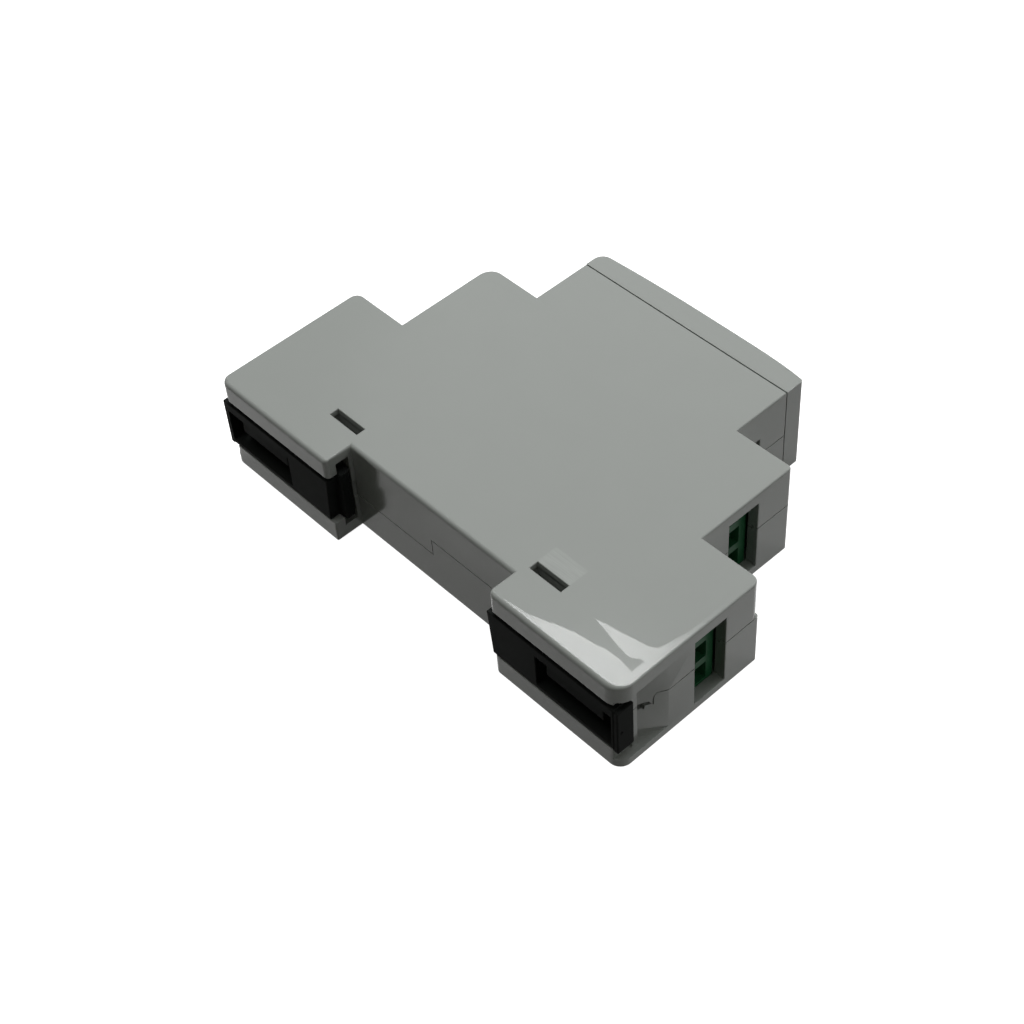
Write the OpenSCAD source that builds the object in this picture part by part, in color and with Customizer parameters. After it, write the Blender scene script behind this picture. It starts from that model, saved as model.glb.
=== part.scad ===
// Bistable relay in a one-module rail housing, lying on its side.
// X runs across the rail, along the housing's length. Y runs from the rail to the front cap.
// Z runs up through the housing's width. The origin is on the underside, in the middle of the
// rail seat's edge. All sizes are in millimetres.

/* [Housing] */
// Width of the housing along the rail
module_w = 18; // [17.5:0.1:19]
// Length of the base tier
base_len = 90; // [88:0.5:94]
// Height of the base tier's shoulder above the rail seat
base_top = 23.8; // [23:0.1:25]
// Length of the middle tier
middle_len = 67; // [66:0.5:69]
// Height of the middle tier's shoulder above the rail seat
middle_top = 43.5; // [43:0.1:45]
// Length of the front tier and its cap
front_len = 44.6; // [43:0.1:46]
// Height of the seam between housing and cap above the rail seat
front_top = 54.8; // [54:0.1:56]
// Depth of the two feet behind the rail seat
foot_h = 5.1; // [4.8:0.1:5.5]
// Clear width between the two feet
foot_gap = 36.8; // [36.2:0.1:37.4]
// Thickness of the two large side walls
side_wall = 1.4; // [1.2:0.1:1.4]
// Thickness of the end walls
end_wall = 2; // [1.8:0.1:2]
// Thickness of the shoulders and the rail seat
shoulder_wall = 1.5; // [1.3:0.1:1.6]
// Thickness of the front tier's end walls
front_wall = 1.5; // [1.3:0.1:1.6]
// Corner radius of the right foot
foot_round = 3; // [1:0.1:3.5]
// Corner radius of the left foot
left_foot_round = 1.8; // [1:0.1:3.5]
// Corner radius of the left tiers
left_round = 1.6; // [0.5:0.1:2.5]
// Corner radius of the right base tier
right_round = 0.6; // [0.4:0.1:3]

/* [Seam between the halves] */
// Height of the seam at the ends
seam_z = 10.1; // [9.5:0.1:10.5]
// Height of the seam on the left part of the rail seat
seat_seam_z = 6.9; // [6.5:0.1:7.5]
// Height of the seam on the front tier
front_seam_z = 8.6; // [8.2:0.1:9]
// Place along X where the rail seat's seam steps
seat_step_x = -0.4; // [-2:0.1:2]
// Radius of the locating posts
post_r = 2.1; // [1.9:0.1:2.3]
// Radius of the pins on the locating posts
post_pin_r = 1.1; // [0.9:0.1:1.2]
// Clearance round a locating pin
post_clear = 0.05; // [0.03:0.01:0.1]

/* [Windows and holes] */
// Height of a wire window
window_h = 6.4; // [6:0.1:6.6]
// Lower edge of a wire window above its circuit board
window_rise = 0.6; // [0.5:0.1:0.8]
// Side of a wire window nearest the underside
window_low_z = 1.55; // [1.5:0.05:1.7]
// Side of a wire window nearest the upper side
window_high_z = 15.75; // [15.5:0.05:16.3]
// Radius of the screwdriver holes in the shoulders
driver_hole_r = 1.75; // [1.6:0.05:1.8]
// Inner end of the side slots from the middle
slot_from_x = 19.5; // [19:0.1:21]
// Length of the side slots
slot_len = 6.5; // [5:0.1:7]
// Lower edge of the side slots above the rail seat
slot_y = 2.3; // [2.2:0.05:2.6]
// Height of the side slots
slot_h = 1.65; // [1.4:0.05:1.8]
// Depth of the wedge pocket in each end
wedge_d = 1.75; // [1.5:0.05:1.8]
// Height above the rail seat where the wedge pocket is deepest
wedge_y = 0.2; // [0.1:0.05:0.4]
// Height of the wedge pocket's slope
wedge_h = 4.6; // [4:0.1:4.8]
// Depth of the wedge pocket between its slope and the clip
wedge_foot_d = 1.1; // [0.8:0.1:1.2]
// Side of the wedge pocket nearest the upper side
wedge_top_z = 15.4; // [15:0.1:15.8]

/* [Rail clips] */
// Width of the mouth that a clip slides in
mouth_w = 10.1; // [9.5:0.1:10.5]
// Lower side of the mouth
mouth_z = 4; // [3.8:0.1:4.2]
// Depth of the lips that hold a clip
lip_h = 1.9; // [1.7:0.1:2]
// Depth of the wide channel behind the lips
channel_h = 2.5; // [2.4:0.1:2.6]
// Width of the wide channel
channel_w = 13.9; // [13.5:0.1:14]
// Gap round a sliding clip
clip_gap = 0.1; // [0.08:0.01:0.15]
// How far the hook reaches in past the foot
hook_reach = 1.8; // [1.5:0.1:2.1]
// Length of the plates that go on past the lips
plate_len = 1.5; // [1.4:0.1:1.7]
// Length of the clip's pry window
pry_len = 15.3; // [12:0.1:15.3]
// Width of the clip's pry window
pry_w = 6.5; // [5:0.1:6.6]
// Lower side of the clip's pry window
pry_z = 4.9; // [4.7:0.1:5.1]
// Length of the spring tongue in the pry window
tongue_len = 11.7; // [9:0.1:11.7]
// Width of the spring tongue
tongue_w = 3.7; // [3:0.1:4]
// Lower side of the clip's end tab
tab_z = 3.6; // [3.4:0.1:4.4]
// Width of the clip's end tab
tab_w = 9.4; // [9:0.1:10]
// How far the left clip is pulled out
left_pull = 1.1; // [0:0.1:2]
// Travel of a clip from fully in to fully out
clip_travel = 4; // [3:0.1:4]

/* [Front cap] */
// Height of the cap at its ends
cap_edge_h = 3.9; // [3.4:0.1:4]
// Rise of the cap's arch in the middle
cap_rise = 0.7; // [0.5:0.1:1]
// Corner radius of the cap's right end
cap_right_round = 0.6; // [0.4:0.1:1]
// Corner radius of the cap's left end
cap_left_round = 2; // [1.5:0.1:2.5]
// Thickness of the cap's shell
cap_wall = 1.6; // [1.4:0.1:1.8]
// Gap at the seam between housing and cap
cap_gap = 0.2; // [0.1:0.05:0.3]
// Thickness of the skirt inside the housing
skirt_t = 1; // [0.8:0.1:1.1]
// Depth of the skirt inside the housing
skirt_h = 2.3; // [2:0.1:2.5]
// Radius of the push button
button_r = 2.95; // [2.5:0.05:3.2]
// Gap round the push button
button_gap = 0.08; // [0.05:0.01:0.1]
// Travel of the push button
button_travel = 0.6; // [0.4:0.1:0.8]
// How far the push button stands out of the cap
button_out = 0.7; // [0.6:0.1:1]
// Radius of the status lens
lens_r = 1.4; // [1.2:0.1:1.6]
// Distance of the status lens from the cap's left end
lens_in = 4.3; // [4.2:0.1:10]

/* [Circuit boards] */
// Thickness of the circuit boards
board_t = 1.6; // [1.5:0.1:1.6]
// Rear face of the lower board above the rail seat
lower_board_y = 8; // [8:0.1:8.2]
// Rear face of the middle board above the rail seat
middle_board_y = 27.5; // [27.3:0.1:27.7]
// Rear face of the front board above the rail seat
front_board_y = 48; // [48:0.1:48.2]
// Gap between a board's edge and the walls
board_gap = 0.1; // [0.05:0.05:0.2]
// Width of the ribs that carry the boards
rib_len = 2; // [1.5:0.1:2.5]
// Depth of the ribs that carry the boards
rib_h = 1.4; // [1.2:0.1:1.5]

/* [Terminal blocks] */
// Distance between two poles
pole_pitch = 5; // [4.9:0.05:5]
// Depth of a block from its face to its back
block_d = 8; // [7.9:0.1:8.2]
// Height of a block above its board
block_h = 11.6; // [11.6:0.1:11.8]
// Height of the block's front step
block_step_h = 6.7; // [6:0.1:6.8]
// Depth of the block's front step
block_step_d = 1.5; // [1.2:0.1:1.6]
// Size of the bevels along the block's edges
block_bevel = 0.2; // [0.1:0.1:0.6]
// Width of the square mouth of a wire entry
entry_mouth_w = 3.6; // [3.2:0.1:3.8]
// Height of the mouth of a wire entry
entry_mouth_h = 4.2; // [3.6:0.1:4.4]
// Width of the wire entry behind its mouth
entry_w = 3; // [2.6:0.1:3.2]
// Height of the middle of a wire entry above the board
entry_y = 3; // [2.9:0.05:3.1]
// Depth of the sloping mouth of a wire entry
entry_mouth_d = 1.3; // [1:0.1:1.5]
// Radius of a terminal screw's head
screw_head_r = 1.8; // [1.7:0.05:1.85]
// Height of a terminal screw's head
screw_head_h = 1.8; // [1.5:0.1:1.9]
// Radius of a terminal screw's thread
screw_r = 1.4; // [1.3:0.05:1.4]
// Running clearance round a terminal screw
screw_clear = 0.05; // [0.03:0.01:0.1]
// Width of a clamp cage
cage_w = 4; // [3.9:0.05:4]
// Length of a clamp cage along the wire
cage_d = 4.4; // [4.2:0.1:4.4]
// Height of a clamp cage
cage_h = 5.7; // [5.6:0.05:5.7]
// Thickness of a clamp cage's threaded side
cage_top_t = 1.2; // [1:0.1:1.3]
// Thickness of a clamp cage's other sides
cage_t = 0.7; // [0.6:0.05:0.8]
// Travel of a clamp cage
cage_travel = 2.5; // [2:0.1:2.5]

/* [Relay] */
// Length of the relay
relay_l = 29; // [28:0.5:30]
// Width of the relay
relay_w = 12.7; // [12.5:0.1:13]
// Height of the relay
relay_h = 15.7; // [15.5:0.1:16]
// Left end of the relay
relay_x = -2; // [-2.5:0.5:0]
// Thickness of the relay's cover
cover_t = 0.8; // [0.7:0.1:0.9]
// Thickness of the relay's base
relay_base_t = 1.4; // [1.2:0.1:1.5]
// Half of the angle that the armature rocks through
rock_half = 4; // [3:0.5:4]

/* [Other parts on the boards] */
// Length of the film capacitor
film_len = 15; // [12:0.5:15]
// Width of the film capacitor
film_w = 7; // [5:0.5:8]
// Height of the film capacitor
film_h = 11; // [9:0.5:12]
// Radius of the varistor
varistor_r = 3.5; // [3:0.25:4]
// Thickness of the varistor
varistor_t = 3.5; // [2.5:0.25:4]
// Radius of the storage capacitor
storage_r = 4; // [3:0.25:4.5]
// Height of the storage capacitor
storage_h = 11.5; // [9:0.5:12]
// Place of the storage capacitor along X
storage_x = -13; // [-14:0.5:-11]
// Length of the control chip
chip_len = 5; // [5:0.1:6]
// Place of the control chip's left end
chip_x = -2; // [-3:0.5:0]

/* [Hidden] */
$fn = 64;
eps = 0.01;
big = 200;
poles = 3;
half_base = base_len / 2;
half_middle = middle_len / 2;
half_front = front_len / 2;
half_gap = foot_gap / 2;
mid_z = module_w / 2;
inner_top_z = module_w - side_wall;
cap_top = front_top + cap_edge_h;
crown_top = cap_top + cap_rise;
lens_x = -half_front + lens_in;
lens_top = cap_top + 0.7;
lip_y = -foot_h + lip_h;
channel_y = lip_y + channel_h;
channel_z = mouth_z - 1.7;
plate_x = half_base - plate_len;
plate_y = -1.6;
plate_z = 1.6;
plate_top_z = 14.7;
post_places = [[32.5, 4.4, seam_z], [16.5, 44.9, front_seam_z]];
hook_y = -1.1;
hook_chamfer = 0.5;
tab_in = 0.5;
tongue_in = 0.8;
tongue_out = 1.2;
latch_y = 46.3;
latch_top_y = 48.95;
latch_z = 6;
latch_w = 6;
latch_arm_w = 8;
latch_out = 1;
latch_gap = 0.1;
cap_fit = 0.05;
lower_top = lower_board_y + board_t;
middle_top_y = middle_board_y + board_t;
front_top_y = front_board_y + board_t;
board_z = side_wall + board_gap;
board_w = module_w - 2 * board_z;
lower_face_x = half_base - end_wall - 0.05;
upper_face_x = half_middle - end_wall - 0.05;
block_w = poles * pole_pitch;
block_z = mid_z - block_w / 2;
cage_y = 1;
chamber_gap = 0.05;
chamber_top = cage_y + cage_h + cage_travel + chamber_gap;
head_y = chamber_top + 0.25;
cage_x = 2;
bar_y = 4.5;
bar_t = 0.8;
bar_w = 2.4;
leg_t = 0.8;
leg_x = 6.8;
leg_out = 3;
leg_hole_r = 0.66;
screw_x = cage_x + cage_d / 2;
pin_r = 0.4;
pin_hole_r = 0.45;
header_pitch = 2.54;
led_lead_out = 0.8;
led_h = 3.2;
led_r = lens_r - 0.05;
strip_half = 1.25;
header_x = relay_x - 3.5;
front_header_x = 10;
tact_w = 6;
tact_h = 3.5;
tact_r = 1.7;
tact_stem_h = 1.2;
button_y = front_top_y + tact_h + tact_stem_h;
flange_r = button_r + 0.9;
two_pins = 2.5;
lower_board_half = half_base - end_wall - board_gap;
parts_gap = (lower_face_x - block_d + header_x - strip_half - film_len - varistor_t) / 3;
varistor_left_x = block_d - lower_face_x + parts_gap;
varistor_x = [varistor_left_x, varistor_left_x + varistor_t];
film_x = [varistor_x[1] + parts_gap, varistor_x[1] + parts_gap + film_len];
chip_w = 6;
chip_z = mid_z - chip_w / 2;
chip_h = 1.45;
chip_lift = 0.15;
lead_pitch = 1.27;
lead_out = 1.5;

coil_y = 9;
core_r = 1.5;
coil_r = relay_w / 2 - cover_t - 1.65;
bobbin_flange = 0.9;
bobbin_t = 0.7;
bobbin_half = coil_r + 0.7;
strap_t = 1.4;
strap_y = relay_base_t + 1;
strap_top_y = strap_y + strap_t;
strap_half_w = 4;
yoke_x = 1;
yoke_t = 1.2;
yoke_over = 3;
arm_t = 1.1;
arm_low = 3.9;
arm_high = 4.1;
arm_half_w = 3.8;
rock_x = relay_l - 10.5;
rock_y = 6.2;
pole_x = rock_x - 0.9;
coil_x = yoke_x + yoke_t + 0.8;
coil_end_x = pole_x - 2.2;
magnet_t = 1.7;
lever_top_y = 13.3;
lever_t = 0.7;
trunnion_r = 0.5;
trunnion_clear = 0.05;
ear_t = 0.6;
ear_z = relay_w / 2 - cover_t - 0.15;
ear_half = 1;
spring_x = relay_l - 4;
spring_t = 0.3;
spring_w = 2.6;
spring_root_y = relay_base_t + 0.05;
fixed_t = 0.3;
fixed_left_x = spring_x - 1.5;
fixed_right_x = spring_x + 2.3;
fixed_low_z = -4.3;
fixed_high_z = 1.8;
rivet_r = 1.2;
rivet_half = 0.7;
stop_out = 0.74;
lever_bar = 0.4;
finger_t = 0.8;
finger_half_w = 1.2;
cheek_t = 0.8;
cheek_half = 0.9;
lever_half_w = 3;
card_end = 0.8;
card_slot = 0.2;
contact_y = 10.4;
card_y = 12.6;
card_t = 1.2;
card_half_w = 2.2;
post_half_w = 4.5;
relay_pin_places = [
  [2.5, -3.75], [2.5, 3.75], [relay_l - 7.8, -3.75], [relay_l - 4.8, 3.75], [relay_l - 1.8, -3.75]
];

// The corner b between a and c, rounded with radius r
function unit(v) = v / norm(v);
function turned(v, a) = [v[0] * cos(a) - v[1] * sin(a), v[0] * sin(a) + v[1] * cos(a)];
function corner(a, b, c, r, n = 6) =
  r == 0 ? [b] :
  let (
    u = unit(a - b),
    v = unit(c - b),
    half = acos(u * v) / 2,
    centre = b + unit(u + v) * r / sin(half),
    start = b + u * r / tan(half) - centre,
    way = sign(cross(start, b + v * r / tan(half) - centre))
  )
  [for (i = [0:n]) centre + turned(start, way * (180 - 2 * half) * i / n)];
// An outline from points that each hold x, y and a corner radius
function flat(p) = [p[0], p[1]];
function rounded(points) =
  let (n = len(points))
  [for (i = [0:n - 1]) each corner(
    flat(points[(i + n - 1) % n]), flat(points[i]), flat(points[(i + 1) % n]), points[i][2])];

housing_outline = rounded([
  [-half_base, -foot_h, left_foot_round],
  [-half_gap, -foot_h, 0.5],
  [-half_gap, 0, 0],
  [half_gap, 0, 0],
  [half_gap, -foot_h, 1],
  [half_base, -foot_h, foot_round],
  [half_base, base_top, right_round],
  [half_middle, base_top, 0],
  [half_middle, middle_top, 0.6],
  [half_front, middle_top, 0],
  [half_front, front_top, 0],
  [-half_front, front_top, 0],
  [-half_front, middle_top, 0],
  [-half_middle, middle_top, left_round + 1],
  [-half_middle, base_top, 0],
  [-half_base, base_top, left_round]
]);

cavity_half = [
  [half_base - end_wall - 2.6, shoulder_wall],
  [half_base - end_wall, shoulder_wall + 4.6],
  [half_base - end_wall, base_top - shoulder_wall],
  [half_middle - end_wall, base_top - shoulder_wall],
  [half_middle - end_wall, middle_top - shoulder_wall],
  [half_front - front_wall, middle_top - shoulder_wall],
  [half_front - front_wall, front_top + 1]
];

// A prism with its outline in XY
module slab(points, from_z, to_z) {
  translate([0, 0, from_z]) linear_extrude(to_z - from_z) polygon(points);
}

// A block between two corners
module block(low, high) {
  translate(low) cube(high - low);
}

// A round bar along Y
module rod_y(x, z, r, from_y, to_y) {
  translate([x, to_y, z]) rotate([90, 0, 0]) cylinder(r = r, h = to_y - from_y);
}

// A round bar along X
module rod_x(y, z, r, from_x, to_x) {
  translate([from_x, y, z]) rotate([0, 90, 0]) cylinder(r = r, h = to_x - from_x);
}

// The same shape at both ends of the housing
module both_ends() {
  children();
  mirror([1, 0, 0]) children();
}

// Height of a pole's middle
function pole_z(i) = block_z + pole_pitch * (i + 0.5);

// Everything that the channel for the right rail clip takes away
module clip_channel() {
  mouth_top_z = mouth_z + mouth_w;
  block([half_gap - 1, -foot_h - 1, mouth_z], [plate_x + eps, lip_y + eps, mouth_top_z]);
  block([half_gap - 1, lip_y, channel_z], [plate_x + eps, channel_y, channel_z + channel_w]);
  block([plate_x, -foot_h - 1, plate_z], [half_base + 1, plate_y, plate_top_z]);
}

// The wedge pocket in the right end, above the clip
module wedge_pocket() {
  slab([
    [half_base + 1, plate_y - eps],
    [half_base - wedge_foot_d, plate_y - eps],
    [half_base - wedge_foot_d, wedge_y],
    [half_base - wedge_d, wedge_y],
    [half_base, wedge_y + wedge_h],
    [half_base + 1, wedge_y + wedge_h]
  ], window_low_z, wedge_top_z);
}

// A wire window through an end wall
module wire_window(wall_x, board_top) {
  window_y = board_top + window_rise;
  block(
    [wall_x - end_wall - 0.5, window_y, window_low_z],
    [wall_x + 1, window_y + window_h, window_high_z]
  );
}

// The slot for the cap's latch
module latch_slot() {
  block(
    [half_front - front_wall - 1, latch_y, latch_z],
    [half_front + 1, latch_top_y, latch_z + latch_w]
  );
}

// The slots through both side walls
module side_slots() {
  slot_end = [slot_from_x + slot_len, slot_y + slot_h, 0];
  block([slot_from_x, slot_y, -1], [slot_end[0], slot_end[1], side_wall + 0.5]);
  block([slot_from_x, slot_y, inner_top_z - 0.5], [slot_end[0], slot_end[1], module_w + 1]);
}

// The screwdriver holes of one shoulder
module driver_holes(face_x, shoulder_y) {
  for (i = [0:poles - 1])
    rod_y(face_x - screw_x, pole_z(i), driver_hole_r, shoulder_y - shoulder_wall - 1, shoulder_y + 1);
}

// Ribs on both side walls under a board
module board_ribs(x, rear_y) {
  low = [x - rib_len / 2, rear_y - rib_h, side_wall - eps];
  block(low, [x + rib_len / 2, rear_y, side_wall + 1]);
  block([low[0], low[1], inner_top_z - 1], [x + rib_len / 2, rear_y, inner_top_z + eps]);
}

// Both halves of the housing before they are parted
module housing_shell() {
  difference() {
    slab(housing_outline, 0, module_w);
    both_ends() {
      slab(concat([[-1, shoulder_wall]], cavity_half, [[-1, front_top + 1]]), side_wall, inner_top_z);
      clip_channel();
      wedge_pocket();
      wire_window(half_base, lower_top);
      wire_window(half_middle, middle_top_y);
      latch_slot();
      side_slots();
      driver_holes(lower_face_x, base_top);
      driver_holes(upper_face_x, middle_top);
    }
  }
  both_ends() {
    board_ribs(25, lower_board_y);
    board_ribs(40.5, lower_board_y);
    board_ribs(16, middle_board_y);
    board_ribs(27, middle_board_y);
    board_ribs(12, front_board_y);
  }
}

// The space under the seam
module under_seam() {
  difference() {
    block([-big, -big, -1], [big, big, seam_z]);
    block([-half_gap, -1, seat_seam_z], [seat_step_x, shoulder_wall, seam_z + 1]);
    block([-big, middle_top, front_seam_z], [big, big, seam_z + 1]);
  }
}

module lower_housing_half() {
  color("#8f9591") {
    intersection() {
      housing_shell();
      under_seam();
    }
    both_ends() for (p = post_places) {
      translate([p[0], p[1], side_wall - eps]) cylinder(r = post_r, h = p[2] - side_wall + eps);
      translate([p[0], p[1], p[2] - eps]) cylinder(r = post_pin_r, h = 3);
    }
  }
}

module upper_housing_half() {
  color("#9aa09c") {
    difference() {
      housing_shell();
      under_seam();
    }
    both_ends() for (p = post_places) difference() {
      translate([p[0], p[1], p[2]]) cylinder(r = post_r, h = inner_top_z - p[2] + eps);
      translate([p[0], p[1], p[2] - 1]) cylinder(r = post_pin_r + post_clear, h = 4.3);
    }
  }
}

// The cap's outline seen from the side, with its arch and its two end corners
cap_bow = (half_front * half_front + cap_rise * cap_rise) / (2 * cap_rise);
cap_low = front_top + cap_gap;
cap_outline = concat(
  [[-half_front, cap_low], [half_front, cap_low]],
  corner([half_front, cap_low], [half_front, cap_top], [0, cap_top], cap_right_round),
  [for (i = [-10:10]) let (x = -i * (half_front - cap_left_round - 0.3) / 10)
    [x, crown_top - cap_bow + sqrt(cap_bow * cap_bow - x * x)]],
  corner([0, cap_top], [-half_front, cap_top], [-half_front, cap_low], cap_left_round)
);

module front_cap() {
  skirt_x = half_front - front_wall - cap_fit;
  skirt_z = side_wall + cap_fit;
  color("#9da39f") difference() {
    union() {
      slab(cap_outline, 0, module_w);
      block(
        [-skirt_x, front_top - skirt_h, skirt_z],
        [skirt_x, cap_low + eps, module_w - skirt_z]
      );
      both_ends() {
        block(
          [skirt_x - skirt_t, latch_y - 0.5, mid_z - latch_arm_w / 2],
          [skirt_x, front_top, mid_z + latch_arm_w / 2]
        );
        slab([
          [skirt_x - skirt_t / 2, latch_y + latch_gap],
          [skirt_x, latch_y + latch_gap],
          [skirt_x + latch_out, latch_top_y - 4 * latch_gap],
          [skirt_x + latch_out, latch_top_y - latch_gap],
          [skirt_x - skirt_t / 2, latch_top_y - latch_gap]
        ], latch_z + latch_gap, latch_z + latch_w - latch_gap);
      }
    }
    slab([
      [-skirt_x + skirt_t, front_top - skirt_h - 1],
      [skirt_x - skirt_t, front_top - skirt_h - 1],
      [skirt_x - skirt_t, cap_top - cap_wall],
      [-skirt_x + skirt_t, cap_top - cap_wall]
    ], skirt_z + skirt_t, module_w - skirt_z - skirt_t);
    rod_y(0, mid_z, button_r + button_gap, front_top, crown_top + 1);
    rod_y(lens_x, mid_z, lens_r + 0.02, front_top, crown_top + 1);
  }
}

// The right rail clip, fully in
module rail_clip() {
  inner_x = half_gap - 0.7;
  hook_x = half_gap - hook_reach;
  flange_x = half_gap + 0.3;
  flange_end = plate_x - clip_travel - 0.1;
  front_y = channel_y - clip_gap;
  back_y = lip_y + clip_gap;
  low_z = mouth_z + clip_gap;
  high_z = mouth_z + mouth_w - clip_gap;
  wide_low_z = channel_z + clip_gap;
  wide_high_z = channel_z + channel_w - clip_gap;
  tab_y = plate_y - clip_gap;
  pry_x = plate_x - 0.3 - pry_len;
  pry_top_z = pry_z + pry_w;
  tongue_x = pry_x + 1.4;
  difference() {
    union() {
      slab([
        [hook_x, back_y], [flange_x + eps, back_y], [flange_x + eps, hook_y],
        [hook_x + hook_chamfer, hook_y], [hook_x, hook_y - hook_chamfer]
      ], low_z, high_z);
      block([flange_x, back_y, wide_low_z], [flange_end, front_y, wide_high_z]);
      block([inner_x, -foot_h, low_z], [plate_x + 0.2, back_y + eps, high_z]);
      block([flange_end - eps, back_y, low_z], [plate_x + 0.2, tab_y, high_z]);
      block([plate_x + clip_gap, -foot_h + 0.1, tab_z], [half_base - tab_in, tab_y, tab_z + tab_w]);
    }
    block([pry_x, -foot_h - 1, pry_z], [pry_x + pry_len, front_y + 1, pry_top_z]);
  }
  block(
    [tongue_x, -foot_h + tongue_in, pry_top_z - tongue_w],
    [tongue_x + tongue_len, lip_y + tongue_out, pry_top_z + eps]
  );
}

module rail_clip_right() {
  color("#1b1d1d") rail_clip();
}

module rail_clip_left() {
  color("#1b1d1d") translate([-left_pull, 0, 0]) mirror([1, 0, 0]) rail_clip();
}

// The leg holes that a block with its face at face_x needs in its board
module leg_holes(face_x, rear_y) {
  for (i = [0:poles - 1])
    rod_y(face_x - leg_x - leg_t / 2, pole_z(i), leg_hole_r, rear_y - 1, rear_y + board_t + 1);
}

// Round holes in a row along Z
module pin_row_holes(x, count, rear_y) {
  for (i = [0:count - 1])
    rod_y(x, mid_z + (i - (count - 1) / 2) * header_pitch, pin_hole_r, rear_y - 1, rear_y + board_t + 1);
}

module board_blank(half_x, rear_y) {
  block([-half_x, rear_y, board_z], [half_x, rear_y + board_t, board_z + board_w]);
}

module lower_board() {
  color("#2f5d3a") difference() {
    board_blank(lower_board_half, lower_board_y);
    both_ends() leg_holes(lower_face_x, lower_board_y);
    pin_row_holes(header_x, 5, lower_board_y);
    for (p = relay_pin_places)
      rod_y(relay_x + p[0], mid_z + p[1], pin_hole_r, lower_board_y - 1, lower_top + 1);
    for (x = [film_x[0] + two_pins, film_x[1] - two_pins])
      rod_y(x, mid_z, pin_hole_r, lower_board_y - 1, lower_top + 1);
    for (z = [-two_pins, two_pins])
      rod_y(varistor_x[0] + varistor_t / 2, mid_z + z, pin_hole_r, lower_board_y - 1, lower_top + 1);
  }
}

module middle_board() {
  color("#2f5d3a") difference() {
    board_blank(half_middle - end_wall - board_gap, middle_board_y);
    both_ends() leg_holes(upper_face_x, middle_board_y);
    pin_row_holes(header_x, 5, middle_board_y);
    pin_row_holes(front_header_x, 4, middle_board_y);
    for (z = [-two_pins / 2, two_pins / 2])
      rod_y(storage_x, mid_z + z, pin_hole_r, middle_board_y - 1, middle_top_y + 1);
  }
}

module front_board() {
  color("#2f5d3a") difference() {
    board_blank(half_front - front_wall - skirt_t - 0.4, front_board_y);
    pin_row_holes(front_header_x, 4, front_board_y);
    for (z = [-header_pitch / 2, header_pitch / 2])
      rod_y(lens_x, mid_z + z, pin_hole_r, front_board_y - 1, front_top_y + 1);
  }
}

// What a wire entry takes from a block: a mouth that tapers, and a square channel to the cage
module wire_entry() {
  mouth_half = entry_mouth_h / 2;
  half = entry_w / 2;
  slab([
    [eps, entry_y - mouth_half],
    [eps, entry_y + mouth_half],
    [-entry_mouth_d, entry_y + half],
    [-entry_mouth_d, entry_y - half]
  ], -entry_mouth_w / 2, entry_mouth_w / 2);
  block([-cage_x, entry_y - half, -half], [eps - entry_mouth_d, entry_y + half, half]);
}

// A three-pole terminal block for the right end
module terminal_block(face_x, board_top) {
  back_x = face_x - block_d;
  step_x = face_x - block_step_d;
  top_y = board_top + block_h;
  step_y = board_top + block_step_h;
  difference() {
    slab([
      [back_x, board_top], [face_x, board_top],
      [face_x, step_y - block_bevel], [face_x - block_bevel, step_y], [step_x, step_y],
      [step_x, top_y - block_bevel], [step_x - block_bevel, top_y], [back_x, top_y]
    ], block_z, block_z + block_w);
    for (i = [0:poles - 1]) translate([face_x, board_top, pole_z(i)]) {
      wire_entry();
      block(
        [-cage_x - cage_d - chamber_gap, cage_y - chamber_gap, -cage_w / 2 - chamber_gap],
        [-cage_x + chamber_gap, chamber_top, cage_w / 2 + chamber_gap]
      );
      rod_y(-screw_x, 0, screw_r + screw_clear, head_y - 1, head_y + 1);
      rod_y(-screw_x, 0, screw_head_r + screw_clear, head_y, block_h + 1);
      block([-leg_x - leg_t, -1, -bar_w / 2], [-leg_x + 0.5, bar_y + bar_t, bar_w / 2]);
    }
  }
}

module lower_right_block() {
  color("#1f5638") terminal_block(lower_face_x, lower_top);
}

module lower_left_block() {
  color("#1f5638") mirror([1, 0, 0]) terminal_block(lower_face_x, lower_top);
}

module upper_right_block() {
  color("#1f5638") terminal_block(upper_face_x, middle_top_y);
}

module upper_left_block() {
  color("#1f5638") mirror([1, 0, 0]) terminal_block(upper_face_x, middle_top_y);
}

// The contact bars and legs of one block
module block_pins(face_x, board_top) {
  for (i = [0:poles - 1]) translate([face_x, board_top, pole_z(i)]) {
    block([-leg_x - leg_t, bar_y, -bar_w / 2], [-cage_x, bar_y + bar_t, bar_w / 2]);
    block([-leg_x - leg_t, -leg_out, -0.5], [-leg_x, bar_y + eps, 0.5]);
  }
}

module terminal_pins() {
  color("#b9bcbd") both_ends() {
    block_pins(lower_face_x, lower_top);
    block_pins(upper_face_x, middle_top_y);
  }
}

// One terminal screw, with a slot across its head
module terminal_screw(face_x, board_top, i) {
  top = head_y + screw_head_h;
  color("#c3c6c8") translate([face_x - screw_x, board_top, pole_z(i)]) difference() {
    union() {
      rod_y(0, 0, screw_head_r, head_y, top);
      rod_y(0, 0, screw_r, bar_y + bar_t + 0.1, head_y + eps);
    }
    block([-2.5, top - 0.9, -0.3], [2.5, top + 1, 0.3]);
  }
}

// One clamp cage, fully open
module clamp_cage(face_x, board_top, i) {
  color("#c9b36a") translate([face_x, board_top, pole_z(i)]) difference() {
    block([-cage_x - cage_d, cage_y, -cage_w / 2], [-cage_x, cage_y + cage_h, cage_w / 2]);
    block(
      [-cage_x - cage_d - 1, cage_y + cage_t, -cage_w / 2 + cage_t],
      [-cage_x + 1, cage_y + cage_h - cage_top_t, cage_w / 2 - cage_t]
    );
    rod_y(-screw_x, 0, screw_r + screw_clear, cage_y + 1, cage_y + cage_h + 1);
  }
}

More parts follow.
